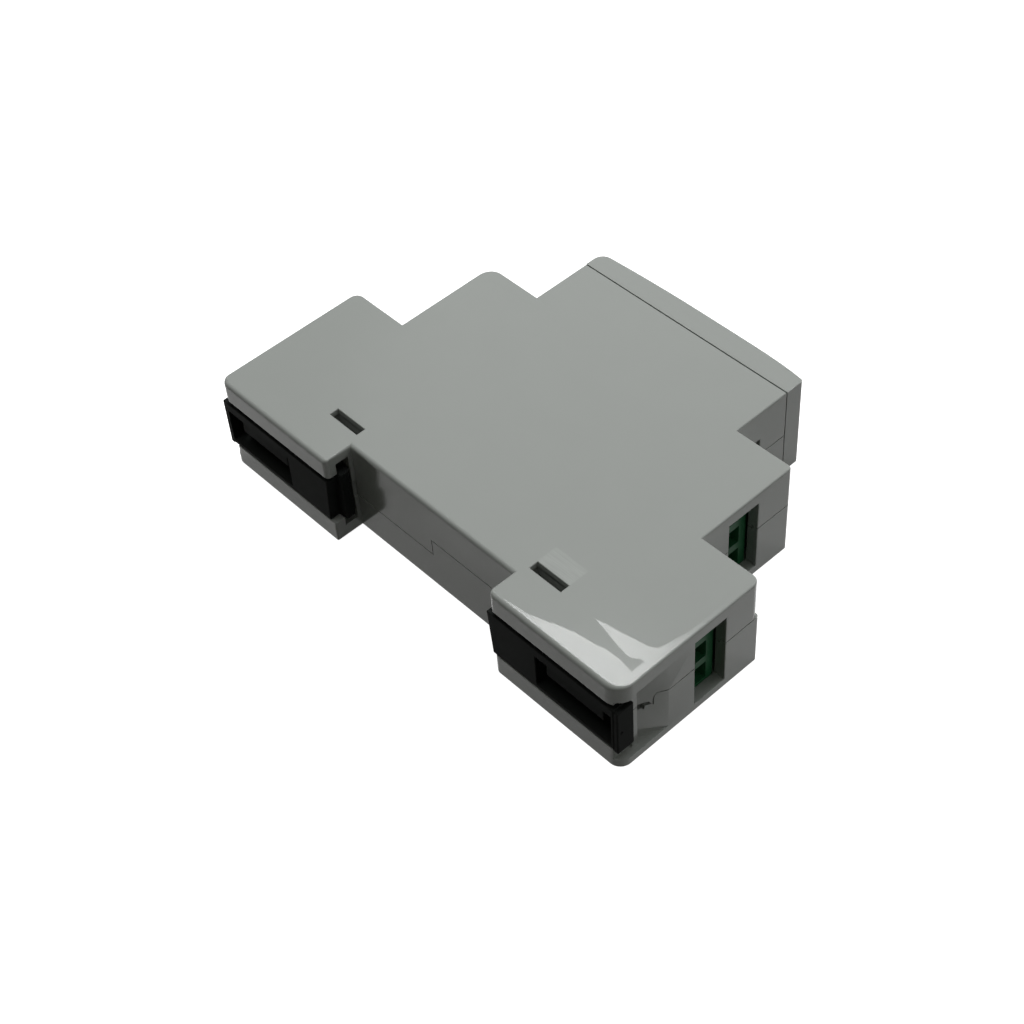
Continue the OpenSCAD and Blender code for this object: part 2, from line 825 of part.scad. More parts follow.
// Relay shapes are drawn from the relay's own left rear edge and middle
module in_relay() {
  translate([relay_x, lower_top, mid_z]) children();
}

module relay_base() {
  post_h = 2.6;
  color("#2b2d30") in_relay() difference() {
    union() {
      block([0, 0, -relay_w / 2], [relay_l, relay_base_t, relay_w / 2]);
      block([yoke_x, relay_base_t - eps, -post_half_w], [yoke_x + yoke_t, strap_y, post_half_w]);
      block([coil_end_x - 3, relay_base_t - eps, -post_half_w], [coil_end_x - 1, strap_y, post_half_w]);
      block(
        [fixed_left_x - fixed_t - 0.8, relay_base_t - eps, -post_half_w],
        [fixed_left_x - fixed_t, relay_base_t + post_h, post_half_w]
      );
      block(
        [fixed_right_x + fixed_t, relay_base_t - eps, -post_half_w],
        [relay_l - cover_t - 0.05, relay_base_t + post_h, post_half_w]
      );
      for (z = [-ear_z, ear_z - ear_t])
        block([rock_x - ear_half, relay_base_t - eps, z], [rock_x + ear_half, rock_y + 1.2, z + ear_t]);
    }
    for (p = relay_pin_places) rod_y(p[0], p[1], pin_r, -1, relay_base_t);
    translate([rock_x, rock_y, -relay_w / 2]) cylinder(r = trunnion_r + trunnion_clear, h = relay_w);
  }
}

module relay_cover() {
  color("#d9dcd6") in_relay() difference() {
    block([0, relay_base_t, -relay_w / 2], [relay_l, relay_h, relay_w / 2]);
    block(
      [cover_t, relay_base_t - 1, -relay_w / 2 + cover_t],
      [relay_l - cover_t, relay_h - cover_t, relay_w / 2 - cover_t]
    );
  }
}

module relay_bobbin() {
  color("#e8e4d8") in_relay() difference() {
    union() {
      rod_x(coil_y, 0, core_r + bobbin_t, coil_x, coil_end_x);
      for (x = [coil_x, coil_end_x - bobbin_flange])
        block(
          [x, coil_y - bobbin_half, -bobbin_half],
          [x + bobbin_flange, coil_y + bobbin_half, bobbin_half]
        );
    }
    rod_x(coil_y, 0, core_r, coil_x - 1, coil_end_x + 1);
  }
}

module relay_winding() {
  color("#b4622d") in_relay() difference() {
    rod_x(coil_y, 0, coil_r, coil_x + bobbin_flange, coil_end_x - bobbin_flange);
    rod_x(coil_y, 0, core_r + bobbin_t, coil_x, coil_end_x);
  }
}

module relay_yoke() {
  color("#9a9da0") in_relay() {
    rod_x(coil_y, 0, core_r, yoke_x + yoke_t / 2, pole_x);
    block([yoke_x, strap_y, -strap_half_w], [yoke_x + yoke_t, coil_y + yoke_over, strap_half_w]);
    block([yoke_x, strap_y, -strap_half_w], [pole_x, strap_top_y, strap_half_w]);
  }
}

module relay_magnet() {
  color("#4a4c50") in_relay() block(
    [pole_x - 0.3 - magnet_t, strap_top_y, -3],
    [pole_x - 0.3, coil_y - core_r - 0.9, 3]
  );
}

// The armature and its lever rest tilted back by half of their swing
module tilted() {
  translate([rock_x, rock_y, 0]) rotate([0, 0, rock_half]) children();
}

module relay_armature() {
  color("#8d9093") in_relay() tilted() difference() {
    block([-arm_t / 2, -arm_low, -arm_half_w], [arm_t / 2, arm_high, arm_half_w]);
    block([-lever_bar, -lever_bar, -5], [lever_bar, lever_bar, 5]);
  }
}

module relay_lever() {
  plate_x = arm_t / 2;
  finger_h = lever_top_y - rock_y;
  lever_low_y = arm_high + 1.1;
  color("#22252a") in_relay() tilted() {
    block([-lever_bar, -lever_bar, -arm_half_w - 0.1], [lever_bar, lever_bar, arm_half_w + 0.1]);
    for (z = [-arm_half_w - cheek_t, arm_half_w])
      block([-plate_x, -cheek_half, z], [plate_x + lever_t, cheek_half, z + cheek_t]);
    block([plate_x, -2, -lever_half_w], [plate_x + lever_t, lever_low_y, lever_half_w]);
    block(
      [plate_x, -cheek_half, -arm_half_w - cheek_t],
      [plate_x + lever_t, cheek_half, arm_half_w + cheek_t]
    );
    block([-lever_bar, arm_high, -lever_half_w], [plate_x + lever_t, lever_low_y, lever_half_w]);
    block(
      [-finger_t / 2, lever_low_y - eps, -finger_half_w],
      [finger_t / 2, finger_h, finger_half_w]
    );
    for (z = [-ear_z, arm_half_w])
      translate([0, 0, z]) cylinder(r = trunnion_r, h = ear_z - arm_half_w);
  }
}

module relay_pusher() {
  lever_x = rock_x - sin(rock_half) * (lever_top_y - rock_y);
  lever_slot = finger_t;
  spring_slot = spring_t;
  color("#efece2") in_relay() difference() {
    block([lever_x - lever_slot - card_end, card_y, -card_half_w],
      [spring_x + spring_slot + card_end, card_y + card_t, card_half_w]);
    block([lever_x - lever_slot, card_y - 1, -finger_half_w - card_slot],
      [lever_x + lever_slot, card_y + card_t + 1, finger_half_w + card_slot]);
    block([spring_x - spring_slot, card_y - 1, -spring_w / 2 - card_slot],
      [spring_x + spring_slot, card_y + card_t + 1, spring_w / 2 + card_slot]);
  }
}

module relay_moving_contact() {
  color("#c08a4a") in_relay() {
    block(
      [spring_x - spring_t / 2, spring_root_y, -spring_w / 2],
      [spring_x + spring_t / 2, card_y + card_t + 0.4, spring_w / 2]
    );
    rod_x(contact_y, 0, rivet_r, spring_x - rivet_half, spring_x + rivet_half);
  }
}

module relay_fixed_contacts() {
  blade_top = contact_y + 1.6;
  color("#c9a24e") in_relay() {
    block([fixed_left_x - fixed_t, relay_base_t, fixed_low_z], [fixed_left_x, blade_top, fixed_high_z]);
    rod_x(contact_y, 0, rivet_r, fixed_left_x - 0.1, fixed_left_x + rivet_half);
    block([fixed_right_x, relay_base_t, fixed_low_z], [fixed_right_x + fixed_t, blade_top, fixed_high_z]);
    rod_x(contact_y, 0, rivet_r, fixed_right_x - stop_out, fixed_right_x + 0.1);
  }
}

module relay_pins() {
  color("#b9bcbd") in_relay() for (p = relay_pin_places)
    rod_y(p[0], p[1], pin_r, -leg_out, relay_base_t);
}

// A strip with a row of straight pins that joins two boards
module pin_header(x, count, from_y, board_top, to_y) {
  strip_w = count * header_pitch;
  color("#1d1f22") block(
    [x - strip_half, board_top, mid_z - strip_w / 2],
    [x + strip_half, board_top + 2 * strip_half, mid_z + strip_w / 2]
  );
  color("#c9a24e") for (i = [0:count - 1])
    rod_y(x, mid_z + (i - (count - 1) / 2) * header_pitch, pin_r, from_y, to_y);
}

module board_header() {
  pin_header(header_x, 5, lower_board_y - lead_out, lower_top, middle_top_y + lead_out);
}

module front_header() {
  pin_header(front_header_x, 4, middle_board_y - lead_out, middle_top_y, front_top_y + lead_out);
}

// A straight lead from under a board up to to_y
module lead(x, z, rear_y, to_y) {
  rod_y(x, z, pin_r, rear_y - lead_out, to_y);
}

module film_capacitor() {
  low_z = mid_z - film_w / 2;
  color("#c8a32b")
    block([film_x[0], lower_top, low_z], [film_x[1], lower_top + film_h, low_z + film_w]);
  color("#b9bcbd") for (x = [film_x[0] + two_pins, film_x[1] - two_pins])
    lead(x, mid_z, lower_board_y, lower_top + eps);
}

module storage_capacitor() {
  color("#23262b") rod_y(storage_x, mid_z, storage_r, middle_top_y, middle_top_y + storage_h);
  color("#b9bcbd") for (z = [-two_pins / 2, two_pins / 2])
    lead(storage_x, mid_z + z, middle_board_y, middle_top_y + eps);
}

module varistor() {
  middle_x = varistor_x[0] + varistor_t / 2;
  middle_y = lower_top + varistor_r + 1;
  color("#2a5aa0") rod_x(middle_y, mid_z, varistor_r, varistor_x[0], varistor_x[1]);
  color("#b9bcbd") for (z = [-two_pins, two_pins])
    lead(middle_x, mid_z + z, lower_board_y, lower_top + varistor_r);
}

module control_chip() {
  body_y = middle_top_y + chip_lift;
  foot_len = 1.1;
  color("#1d1f22") block([chip_x, body_y, chip_z], [chip_x + chip_len, body_y + chip_h, chip_z + chip_w]);
  color("#b9bcbd") for (i = [0:3]) for (z = [chip_z - foot_len, chip_z + chip_w - eps])
    translate([chip_x + 0.4 + i * lead_pitch, middle_top_y, z]) cube([0.4, 0.6, foot_len + eps]);
}

module tactile_switch() {
  color("#1d1f22") difference() {
    block(
      [-tact_w / 2, front_top_y, mid_z - tact_w / 2],
      [tact_w / 2, front_top_y + tact_h, mid_z + tact_w / 2]
    );
    rod_y(0, mid_z, tact_r + 0.05, front_top_y + 1.5, front_top_y + tact_h + 1);
  }
}

module tactile_stem() {
  color("#d8d8d4") rod_y(0, mid_z, tact_r, front_top_y + 1.5 + button_travel + 0.1, button_y);
}

module push_button() {
  color("#3c4043") {
    rod_y(0, mid_z, button_r, button_y, crown_top + button_out);
    rod_y(0, mid_z, flange_r, button_y, cap_top - cap_wall - cap_fit);
  }
}

module status_led() {
  color("#c9d8c9") {
    rod_y(lens_x, mid_z, led_r, front_top_y, front_top_y + led_h);
    for (z = [-header_pitch / 2, header_pitch / 2])
      rod_y(lens_x, mid_z + z, 0.25, front_board_y - led_lead_out, front_top_y + eps);
  }
}

module status_lens() {
  color("#3fae54") rod_y(lens_x, mid_z, lens_r, front_top_y + led_h, lens_top);
}

upper_housing_half();
lower_housing_half();
front_cap();
rail_clip_right();
rail_clip_left();
lower_board();
middle_board();
front_board();
lower_right_block();
lower_left_block();
upper_right_block();
upper_left_block();
terminal_pins();
for (i = [0:poles - 1]) {
  terminal_screw(lower_face_x, lower_top, i);
  mirror([1, 0, 0]) terminal_screw(lower_face_x, lower_top, i);
  terminal_screw(upper_face_x, middle_top_y, i);
  mirror([1, 0, 0]) terminal_screw(upper_face_x, middle_top_y, i);
  clamp_cage(lower_face_x, lower_top, i);
  mirror([1, 0, 0]) clamp_cage(lower_face_x, lower_top, i);
  clamp_cage(upper_face_x, middle_top_y, i);
  mirror([1, 0, 0]) clamp_cage(upper_face_x, middle_top_y, i);
}
relay_base();
relay_cover();
relay_bobbin();
relay_winding();
relay_yoke();
relay_magnet();
relay_armature();
relay_lever();
relay_pusher();
relay_moving_contact();
relay_fixed_contacts();
relay_pins();
board_header();
front_header();
film_capacitor();
storage_capacitor();
varistor();
control_chip();
tactile_switch();
tactile_stem();
push_button();
status_led();
status_lens();
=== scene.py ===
# Bistable relay in a one-module rail housing, lying on its side on a pale studio floor.
# Sizes are in millimetres until a mesh is made, and in metres after that.
import math

import bmesh
import bpy
from mathutils import Matrix, Vector


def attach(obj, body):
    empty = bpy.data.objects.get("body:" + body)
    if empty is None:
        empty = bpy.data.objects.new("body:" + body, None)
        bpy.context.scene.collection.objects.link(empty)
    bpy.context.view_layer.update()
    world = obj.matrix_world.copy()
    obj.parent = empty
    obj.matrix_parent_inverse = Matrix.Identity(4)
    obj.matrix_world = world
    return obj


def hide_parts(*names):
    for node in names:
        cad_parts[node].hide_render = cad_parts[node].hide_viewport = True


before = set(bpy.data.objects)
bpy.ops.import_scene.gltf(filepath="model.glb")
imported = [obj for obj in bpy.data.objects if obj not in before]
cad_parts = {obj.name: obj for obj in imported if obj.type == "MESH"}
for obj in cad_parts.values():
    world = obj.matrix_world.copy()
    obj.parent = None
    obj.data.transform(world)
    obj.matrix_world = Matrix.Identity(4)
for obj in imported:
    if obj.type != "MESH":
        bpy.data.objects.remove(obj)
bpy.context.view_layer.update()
print("frame loaded,", len(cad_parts), "solids")

mm = 0.001
width = 18  # of the housing along the rail
middleZ = width / 2
boards = {"lower": 9.6, "middle": 29.1, "front": 49.6}  # heights of their component sides
boardThick = 1.6
poles = (4, 9, 14)  # places of a terminal block's poles across the housing
tiers = {"lower": (0, 0), "upper": (-11.5, 19.5)}  # how far the blocks of a tier are moved at the right end


# Nodes and materials

def linearColour(hexCode):  # an sRGB hex colour as linear RGBA
    shares = [int(hexCode[i:i + 2], 16) / 255 for i in (1, 3, 5)]
    return [c / 12.92 if c <= 0.04045 else ((c + 0.055) / 1.055) ** 2.4 for c in shares] + [1.0]


def shaded(hexCode, spread):  # a colour made darker or lighter by a share
    return [min(1, c * (1 + spread)) for c in linearColour(hexCode)[:3]] + [1]


def addNode(tree, kind, inputs=(), **settings):  # an input is a value, a socket, or a node's first output
    made = tree.nodes.new(kind)
    for key, value in settings.items():
        setattr(made, key, value)
    for key, value in dict(inputs).items():
        if isinstance(value, bpy.types.Node):
            value = value.outputs[0]
        if isinstance(value, bpy.types.NodeSocket):
            tree.links.new(value, made.inputs[key])
        else:
            made.inputs[key].default_value = value
    return made


def newMaterial(name):
    material = bpy.data.materials.new(name)
    material.use_nodes = True
    tree = material.node_tree
    tree.nodes.clear()
    return material, tree, addNode(tree, "ShaderNodeTexCoord").outputs["Object"]


def noise(tree, place, size, detail=2.0, low=0.0, high=1.0):  # features of size mm, spread over low to high
    made = addNode(tree, "ShaderNodeTexNoise", {
        "Vector": place, "Scale": 1 / (size * mm), "Detail": detail, "Roughness": 0.55})
    return addNode(tree, "ShaderNodeMapRange", {
        "Value": made, "From Min": 0.2, "From Max": 0.8, "To Min": low, "To Max": high}, clamp=False)


def relief(tree, *layers):  # bumps over each other, each a height pattern and its depth in millimetres
    normal = None
    for height, depth in layers:
        under = {"Normal": normal} if normal else {}
        normal = addNode(tree, "ShaderNodeBump", {"Height": height, "Distance": depth * mm, **under})
    return normal


def together(tree, how, mask, *others):  # several masks as one: their product, or the lowest or highest
    for other in others:
        mask = addNode(tree, "ShaderNodeMath", {0: mask, 1: other}, operation=how)
    return mask


def closed(tree, inputs):
    shader = addNode(tree, "ShaderNodeBsdfPrincipled", inputs)
    addNode(tree, "ShaderNodeOutputMaterial", {"Surface": shader})


def mouldedPlastic(name, look, marked=None):
    # Injection moulded plastic: a satin skin with a fine spark-eroded grain, tool marks that run
    # one way, slow colour drift, and a face that waves a little where it shrank while cooling.
    material, tree, place = newMaterial(name)
    spread = look.get("drift", 0.05)
    colour = addNode(tree, "ShaderNodeMix", {
        0: noise(tree, place, look.get("driftSize", 5), 3), 6: shaded(look["colour"], -spread),
        7: shaded(look["colour"], spread)}, data_type="RGBA").outputs[2]
    roughness, roughDrift = look.get("roughness", 0.4), look.get("roughDrift", 0.04)
    rough = noise(tree, place, look.get("patchSize", 3), 3, roughness - roughDrift, roughness + roughDrift)
    marks = addNode(tree, "ShaderNodeMapping", {
        "Vector": place, "Scale": look.get("markRun", (0.1, 1.0, 1.0))})
    normal = relief(
        tree, (noise(tree, place, look.get("grainSize", 0.14), 1), look.get("grainDepth", 0.003)),
        (noise(tree, marks, look.get("markSize", 0.4)), look.get("markDepth", 0.002)),
        (noise(tree, place, look.get("waveSize", 8), 0), look.get("waveDepth", 0.02)))
    if marked:
        colour, rough, normal = marked(tree, place, colour, rough, normal)
    closed(tree, {
        "Base Color": colour, "Roughness": rough, "IOR": look.get("ior", 1.53),
        "Specular IOR Level": look.get("specular", 0.5), "Normal": normal})
    return material


def platedMetal(name, look):
    # Bare or plated metal: a bright face with fine rolling or drawing lines along one way, cloudy
    # patches where the plating dulls, and tiny pits.
    material, tree, place = newMaterial(name)
    cloudSize, roughness = look.get("cloudSize", 1.6), look["roughness"]
    colour = addNode(tree, "ShaderNodeMix", {
        0: noise(tree, place, cloudSize, 4), 6: shaded(look["colour"], -0.12),
        7: shaded(look["colour"], 0.06)}, data_type="RGBA").outputs[2]
    rough = noise(tree, place, cloudSize, 4, roughness - 0.08, roughness + 0.1)
    lines = addNode(tree, "ShaderNodeMapping", {"Vector": place, "Scale": (1.0, 0.08, 1.0)})
    normal = relief(tree, (noise(tree, lines, 0.12), 0.002), (noise(tree, place, 0.3, 3), 0.002))
    closed(tree, {"Base Color": colour, "Metallic": 1.0, "Roughness": rough, "Normal": normal})
    return material


# Mesh building

def unit2(x, y):
    length = math.hypot(x, y)
    return x / length, y / length


def roundedOutline(corners, steps=8):  # corners hold x, y and a radius, and run anticlockwise
    line = []
    count = len(corners)
    for i, (x, y, radius) in enumerate(corners):
        if radius == 0:
            line.append((x, y))
            continue
        before, after = corners[i - 1], corners[(i + 1) % count]
        ux, uy = unit2(before[0] - x, before[1] - y)
        vx, vy = unit2(after[0] - x, after[1] - y)
        halfAngle = math.acos(max(-1, min(1, ux * vx + uy * vy))) / 2
        wx, wy = unit2(ux + vx, uy + vy)
        reach = radius / math.tan(halfAngle)
        cx, cy = x + wx * radius / math.sin(halfAngle), y + wy * radius / math.sin(halfAngle)
        sx, sy = x + ux * reach - cx, y + uy * reach - cy
        ex, ey = x + vx * reach - cx, y + vy * reach - cy
        sweep = (math.pi - 2 * halfAngle) * (1 if sx * ey - sy * ex > 0 else -1)
        for k in range(steps + 1):
            a = sweep * k / steps
            line.append((cx + sx * math.cos(a) - sy * math.sin(a), cy + sx * math.sin(a) + sy * math.cos(a)))
    return line


def insetOutline(line, reach):  # reach gives how far a side moves in, from its outward normal and place
    moved = []
    count = len(line)
    for i in range(count):
        (ax, ay), (x, y), (bx, by) = line[i - 1], line[i], line[(i + 1) % count]
        tx, ty = unit2(x - ax, y - ay)
        ux, uy = unit2(bx - x, by - y)
        n1, n2 = (ty, -tx), (uy, -ux)
        if n1[0] * n2[0] + n1[1] * n2[1] > 0.6:  # along a rounded corner
            m = unit2(n1[0] + n2[0], n1[1] + n2[1])
            k = reach(m, y) / (m[0] * n1[0] + m[1] * n1[1])
            moved.append((x - m[0] * k, y - m[1] * k))
        else:
            r1, r2 = reach(n1, y), reach(n2, y)
            det = n1[0] * n2[1] - n1[1] * n2[0]
            moved.append((x - (r1 * n2[1] - r2 * n1[1]) / det, y - (r2 * n1[0] - r1 * n2[0]) / det))
    return moved


def even(depth):  # the same reach on every side
    return lambda normal, y: depth


def rectangle(a0, a1, b0, b1):
    return [(a0, b0), (a1, b0), (a1, b1), (a0, b1)]


def roundedRectangle(a0, a1, b0, b1, radius, steps=3):
    return roundedOutline([(a, b, radius) for a, b in rectangle(a0, a1, b0, b1)], steps)


def circle(a, b, radius, count=40):
    turns = [2 * math.pi * i / count for i in range(count)]
    return [(a + radius * math.cos(t), b + radius * math.sin(t)) for t in turns]


def placed(axis, a, b, c):  # a and b lie across the axis in the order x, y, z, and c along it
    return {"z": (a, b, c), "x": (c, a, b), "y": (a, c, b)}[axis]


def solidFromRings(rings):  # closed solid from rings of equal length, first and last ones filled
    work = bmesh.new()
    made = [[work.verts.new(Vector(p) * mm) for p in ring] for ring in rings]
    count = len(rings[0])
    for low, high in zip(made, made[1:]):
        for i in range(count):
            j = (i + 1) % count
            work.faces.new((low[i], low[j], high[j], high[i]))
    work.faces.new(list(reversed(made[0])))
    work.faces.new(made[-1])
    bmesh.ops.recalc_face_normals(work, faces=work.faces)
    mesh = bpy.data.meshes.new("solid")
    work.to_mesh(mesh)
    work.free()
    return mesh


def rim(line, edge, way, reach, shares, axis):  # rings of a rounded rim, each with its inset and lift
    full = insetOutline(line, reach)
    depths = [min(reach((0, -1), 0), math.hypot(x - a, y - b)) for (x, y), (a, b) in zip(line, full)]
    rings = []
    for inset, lift in shares:
        moved = insetOutline(line, lambda n, y: reach(n, y) * inset)
        rings.append([placed(axis, a, b, edge + way * d * lift) for (a, b), d in zip(moved, depths)])
    return rings


def rimmedPrism(line, low, high, reach, lowReach=None, axis="z", steps=5):  # a slab with rounded rims
    turns = [math.pi / 2 * k / steps for k in range(steps + 1)]
    rings = rim(line, low, 1, lowReach or reach, [(1 - math.sin(a), 1 - math.cos(a)) for a in turns], axis)
    rings += rim(line, high, -1, reach, [(1 - math.cos(a), 1 - math.sin(a)) for a in turns], axis)
    return solidFromRings(rings)


def prism(line, low, high, axis="z"):
    return solidFromRings([[placed(axis, a, b, c) for a, b in line] for c in (low, high)])


def boxSolid(x0, x1, y0, y1, z0, z1):
    return prism(rectangle(x0, x1, y0, y1), z0, z1)


def roundedBox(x0, x1, y0, y1, z0, z1, radius, steps=3):
    line = roundedRectangle(x0, x1, y0, y1, radius, steps)
    return rimmedPrism(line, z0, z1, even(radius * 0.9), steps=steps)


def flaredHole(line, axis, inside, face, flare):  # a hole whose mouth at face is opened by a small chamfer
    out = flare if face > inside else -flare
    grown = insetOutline(line, even(-2 * flare))
    steps = ((line, inside), (line, face - out), (grown, face + out))
    return solidFromRings([[placed(axis, a, b, c) for a, b in shape] for shape, c in steps])


def lathed(profile, a, b, axis="y", count=40):  # profile holds radius and place along the axis, end to end
    return solidFromRings([[placed(axis, p, q, c) for p, q in circle(a, b, max(radius, 0.001), count)]
                           for radius, c in profile])


def rod(a, b, radius, low, high, axis="y", count=32, chamfer=0.0):
    profile = [(radius, low + chamfer), (radius, high - chamfer)]
    if chamfer:
        profile = [(radius - chamfer, low), *profile, (radius - chamfer, high)]
    return lathed(profile, a, b, axis, count)


def joined(meshes):
    work = bmesh.new()
    for mesh in meshes:
        work.from_mesh(mesh)
        bpy.data.meshes.remove(mesh)
    mesh = bpy.data.meshes.new("solids")
    work.to_mesh(mesh)
    work.free()
    return mesh


def mirrored(mesh):  # the same shape at the left end
    copy = mesh.copy()
    copy.transform(Matrix.Scale(-1, 4, (1, 0, 0)))
    copy.flip_normals()
    return copy


def shifted(mesh, x=0, y=0, z=0):
    copy = mesh.copy()
    copy.transform(Matrix.Translation(Vector((x, y, z)) * mm))
    return copy


def turnedAbout(mesh, axis, degrees):
    mesh.transform(Matrix.Rotation(math.radians(degrees), 4, axis))
    return mesh


def bothEnds(meshes):
    return joined([m for mesh in meshes for m in (mirrored(mesh), mesh)])


def newPiece(name, mesh):
    piece = bpy.data.objects.new(name, mesh)
    bpy.context.scene.collection.objects.link(piece)
    return piece


def evaluatedMesh(piece):  # the piece's mesh with its modifiers in it
    graph = bpy.context.evaluated_depsgraph_get()
    return bpy.data.meshes.new_from_object(piece.evaluated_get(graph))


def combined(mesh, other, how="DIFFERENCE"):  # how may also be UNION or INTERSECT
    piece, tool = newPiece("carved", mesh), newPiece("tool", other)
    carve = piece.modifiers.new("carve", "BOOLEAN")
    carve.operation = how
    carve.solver = "EXACT"
    carve.object = tool
    result = evaluatedMesh(piece)
    for gone in (piece, tool):
        used = gone.data
        bpy.data.objects.remove(gone)
        bpy.data.meshes.remove(used)
    return result


def finished(name, parts, body="housing", stands=(), slot=None, angle=35):  # parts pair meshes with materials
    meshes, materials = zip(*parts)
    work = bmesh.new()
    for index, part in enumerate(meshes):
        before = len(work.faces)
        work.from_mesh(part)
        work.faces.ensure_lookup_table()
        for face in work.faces[before:]:
            face.material_index = index
            face.smooth = True
        bpy.data.meshes.remove(part)
    bmesh.ops.remove_doubles(work, verts=work.verts, dist=0.0005 * mm)
    bmesh.ops.dissolve_degenerate(work, edges=work.edges, dist=0.0005 * mm)
    mesh = bpy.data.meshes.new(name)
    work.to_mesh(mesh)
    work.free()
    mesh.set_sharp_from_angle(angle=math.radians(angle))
    for material in materials:
        mesh.materials.append(material)
    piece = newPiece(name, mesh)
    piece.modifiers.new("even normals", "WEIGHTED_NORMAL").keep_sharp = True
    if stands:
        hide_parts(*stands)
    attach(piece, body)
    slot or stands[0]


# Sink marks, tool marks and a drawn pad with a painted sheen on the right foot's upper face

footMarks = {  # drawn lines, with places along X (or Y for the right one) and across it
    "rear": ((20, -4.4), (24, -4.0), (28, -3.0), (30, -2.2), (33, -1.5), (36, -1.0), (40, -0.5),
             (41.5, -0.65), (43, -0.95), (46, -0.95)),
    "wedgeLow": ((33, 2.3), (35, 1.9), (37, 1.45), (40, 0.9), (41, 0.8), (42, 1.15), (43.2, 1.7), (46, 1.7)),
    "wedgeHigh": ((33, 2.2), (35, 2.7), (37, 3.0), (40, 3.6), (42, 4.0), (43, 4.6), (46, 5)),
    "right": ((-6, 43.3), (-1, 43.35), (1.6, 43.35), (3, 43.0), (4.5, 43.1), (6, 43.4), (8, 43.7), (10, 44.0),
              (24, 44.1)),
    "tilt": (0.035, -0.055), "soft": 0.3, "level": 17.85, "levelSoft": 0.1, "begins": 21, "beginSoft": 5,
    "run": 0.05, "fraySize": 0.35, "frayReach": 0.3,  # tool marks that fray the rear edge
    "streakSize": 0.22, "streakPlace": (24, 38), "streakShare": (0.5, 0.06),  # stronger to the left
    # the pad: its place, how much its colour is lightened as a painted sheen, and its added roughness
    "pad": (19.4, 26.1, 4.0, 7.8), "padPaintedSheen": 0.12, "padRough": 0.15,
}


def traced(tree, along, points):  # how far across a drawn line lies at a place along it
    (a0, a1), (b0, b1) = ((min(v), max(v)) for v in zip(*points))
    share = addNode(tree, "ShaderNodeMapRange", {"Value": along, "From Min": a0 * mm, "From Max": a1 * mm})
    drawn = addNode(tree, "ShaderNodeFloatCurve", {"Value": share})
    curve = drawn.mapping.curves[0]
    scaled = [((a - a0) / (a1 - a0), (b - b0) / (b1 - b0)) for a, b in points]
    curve.points[0].location, curve.points[1].location = scaled[0], scaled[-1]
    for a, b in scaled[1:-1]:
        curve.points.new(a, b)
    drawn.mapping.update()
    return addNode(tree, "ShaderNodeMapRange", {"Value": drawn, "To Min": b0 * mm, "To Max": b1 * mm})


def beyond(tree, value, limit, soft):  # 0 below the limit and 1 above it, with a step as wide as soft
    over = addNode(tree, "ShaderNodeMath", {0: value, 1: limit}, operation="SUBTRACT")
    return addNode(tree, "ShaderNodeMapRange", {
        "Value": over, "From Min": -soft * mm / 2, "From Max": soft * mm / 2,
    }, interpolation_type="SMOOTHSTEP")


def footShine(tree, place, colour, rough, normal):
    # The face droops to the rear and right edges and between its ribs, so it mirrors the lamp there. Tool
    # marks run along it and fray the edge. A drawn pad before the slot is rougher, and its colour is
    # lightened in streaks as a painted sheen.
    look, soft = footMarks, footMarks["soft"]
    x, y, z = addNode(tree, "ShaderNodeSeparateXYZ", {0: place}).outputs
    level = beyond(tree, z, look["level"] * mm, look["levelSoft"])
    runs = addNode(tree, "ShaderNodeMapping", {"Vector": place, "Scale": (look["run"], 1, 1)})
    fray = look["frayReach"] * mm
    frayed = addNode(tree, "ShaderNodeMath", {0: y, 1: noise(tree, runs, look["fraySize"], 3, -fray, fray)})
    (left, right), (more, less) = look["streakPlace"], look["streakShare"]
    fade = addNode(tree, "ShaderNodeMapRange", {
        "Value": x, "From Min": left * mm, "From Max": right * mm, "To Min": more, "To Max": less})
    streaks = together(tree, "MULTIPLY", noise(tree, runs, look["streakSize"], 3, -1.2, 0.6), fade)
    rear = beyond(tree, traced(tree, x, look["rear"]), frayed, soft)
    wedge = together(tree, "MINIMUM", beyond(tree, y, traced(tree, x, look["wedgeLow"]), soft),
                     beyond(tree, traced(tree, x, look["wedgeHigh"]), y, soft))
    end = beyond(tree, x, traced(tree, y, look["right"]), soft)
    leaning = together(tree, "MULTIPLY", together(tree, "MAXIMUM", rear, wedge, end), level,
                       beyond(tree, x, look["begins"] * mm, look["beginSoft"]),
                       addNode(tree, "ShaderNodeMath", {0: streaks, 1: 1.0}))
    lean = addNode(tree, "ShaderNodeVectorMath", {0: (*look["tilt"], 0), "Scale": leaning}, operation="SCALE")
    normal = addNode(tree, "ShaderNodeVectorMath", {0: normal, 1: lean})
    normal = addNode(tree, "ShaderNodeVectorMath", {0: normal}, operation="NORMALIZE")
    x0, x1, y0, y1 = (v * mm for v in look["pad"])
    pad = together(tree, "MULTIPLY", beyond(tree, x, x0, soft), beyond(tree, x1, x, soft),
                   beyond(tree, y, y0, soft), beyond(tree, y1, frayed, soft), level,
                   noise(tree, runs, look["streakSize"], 3, -0.2, 1.2))
    # painted sheen: the pad's colour is made lighter in streaks, standing in for light it catches
    colour = addNode(tree, "ShaderNodeMix", {
        0: pad, 6: colour, 7: shaded(shellColour, look["padPaintedSheen"])}, data_type="RGBA").outputs[2]
    rough = addNode(tree, "ShaderNodeMath", {0: pad, 1: look["padRough"], 2: rough}, operation="MULTIPLY_ADD")
    return colour, rough, normal


# Finishes

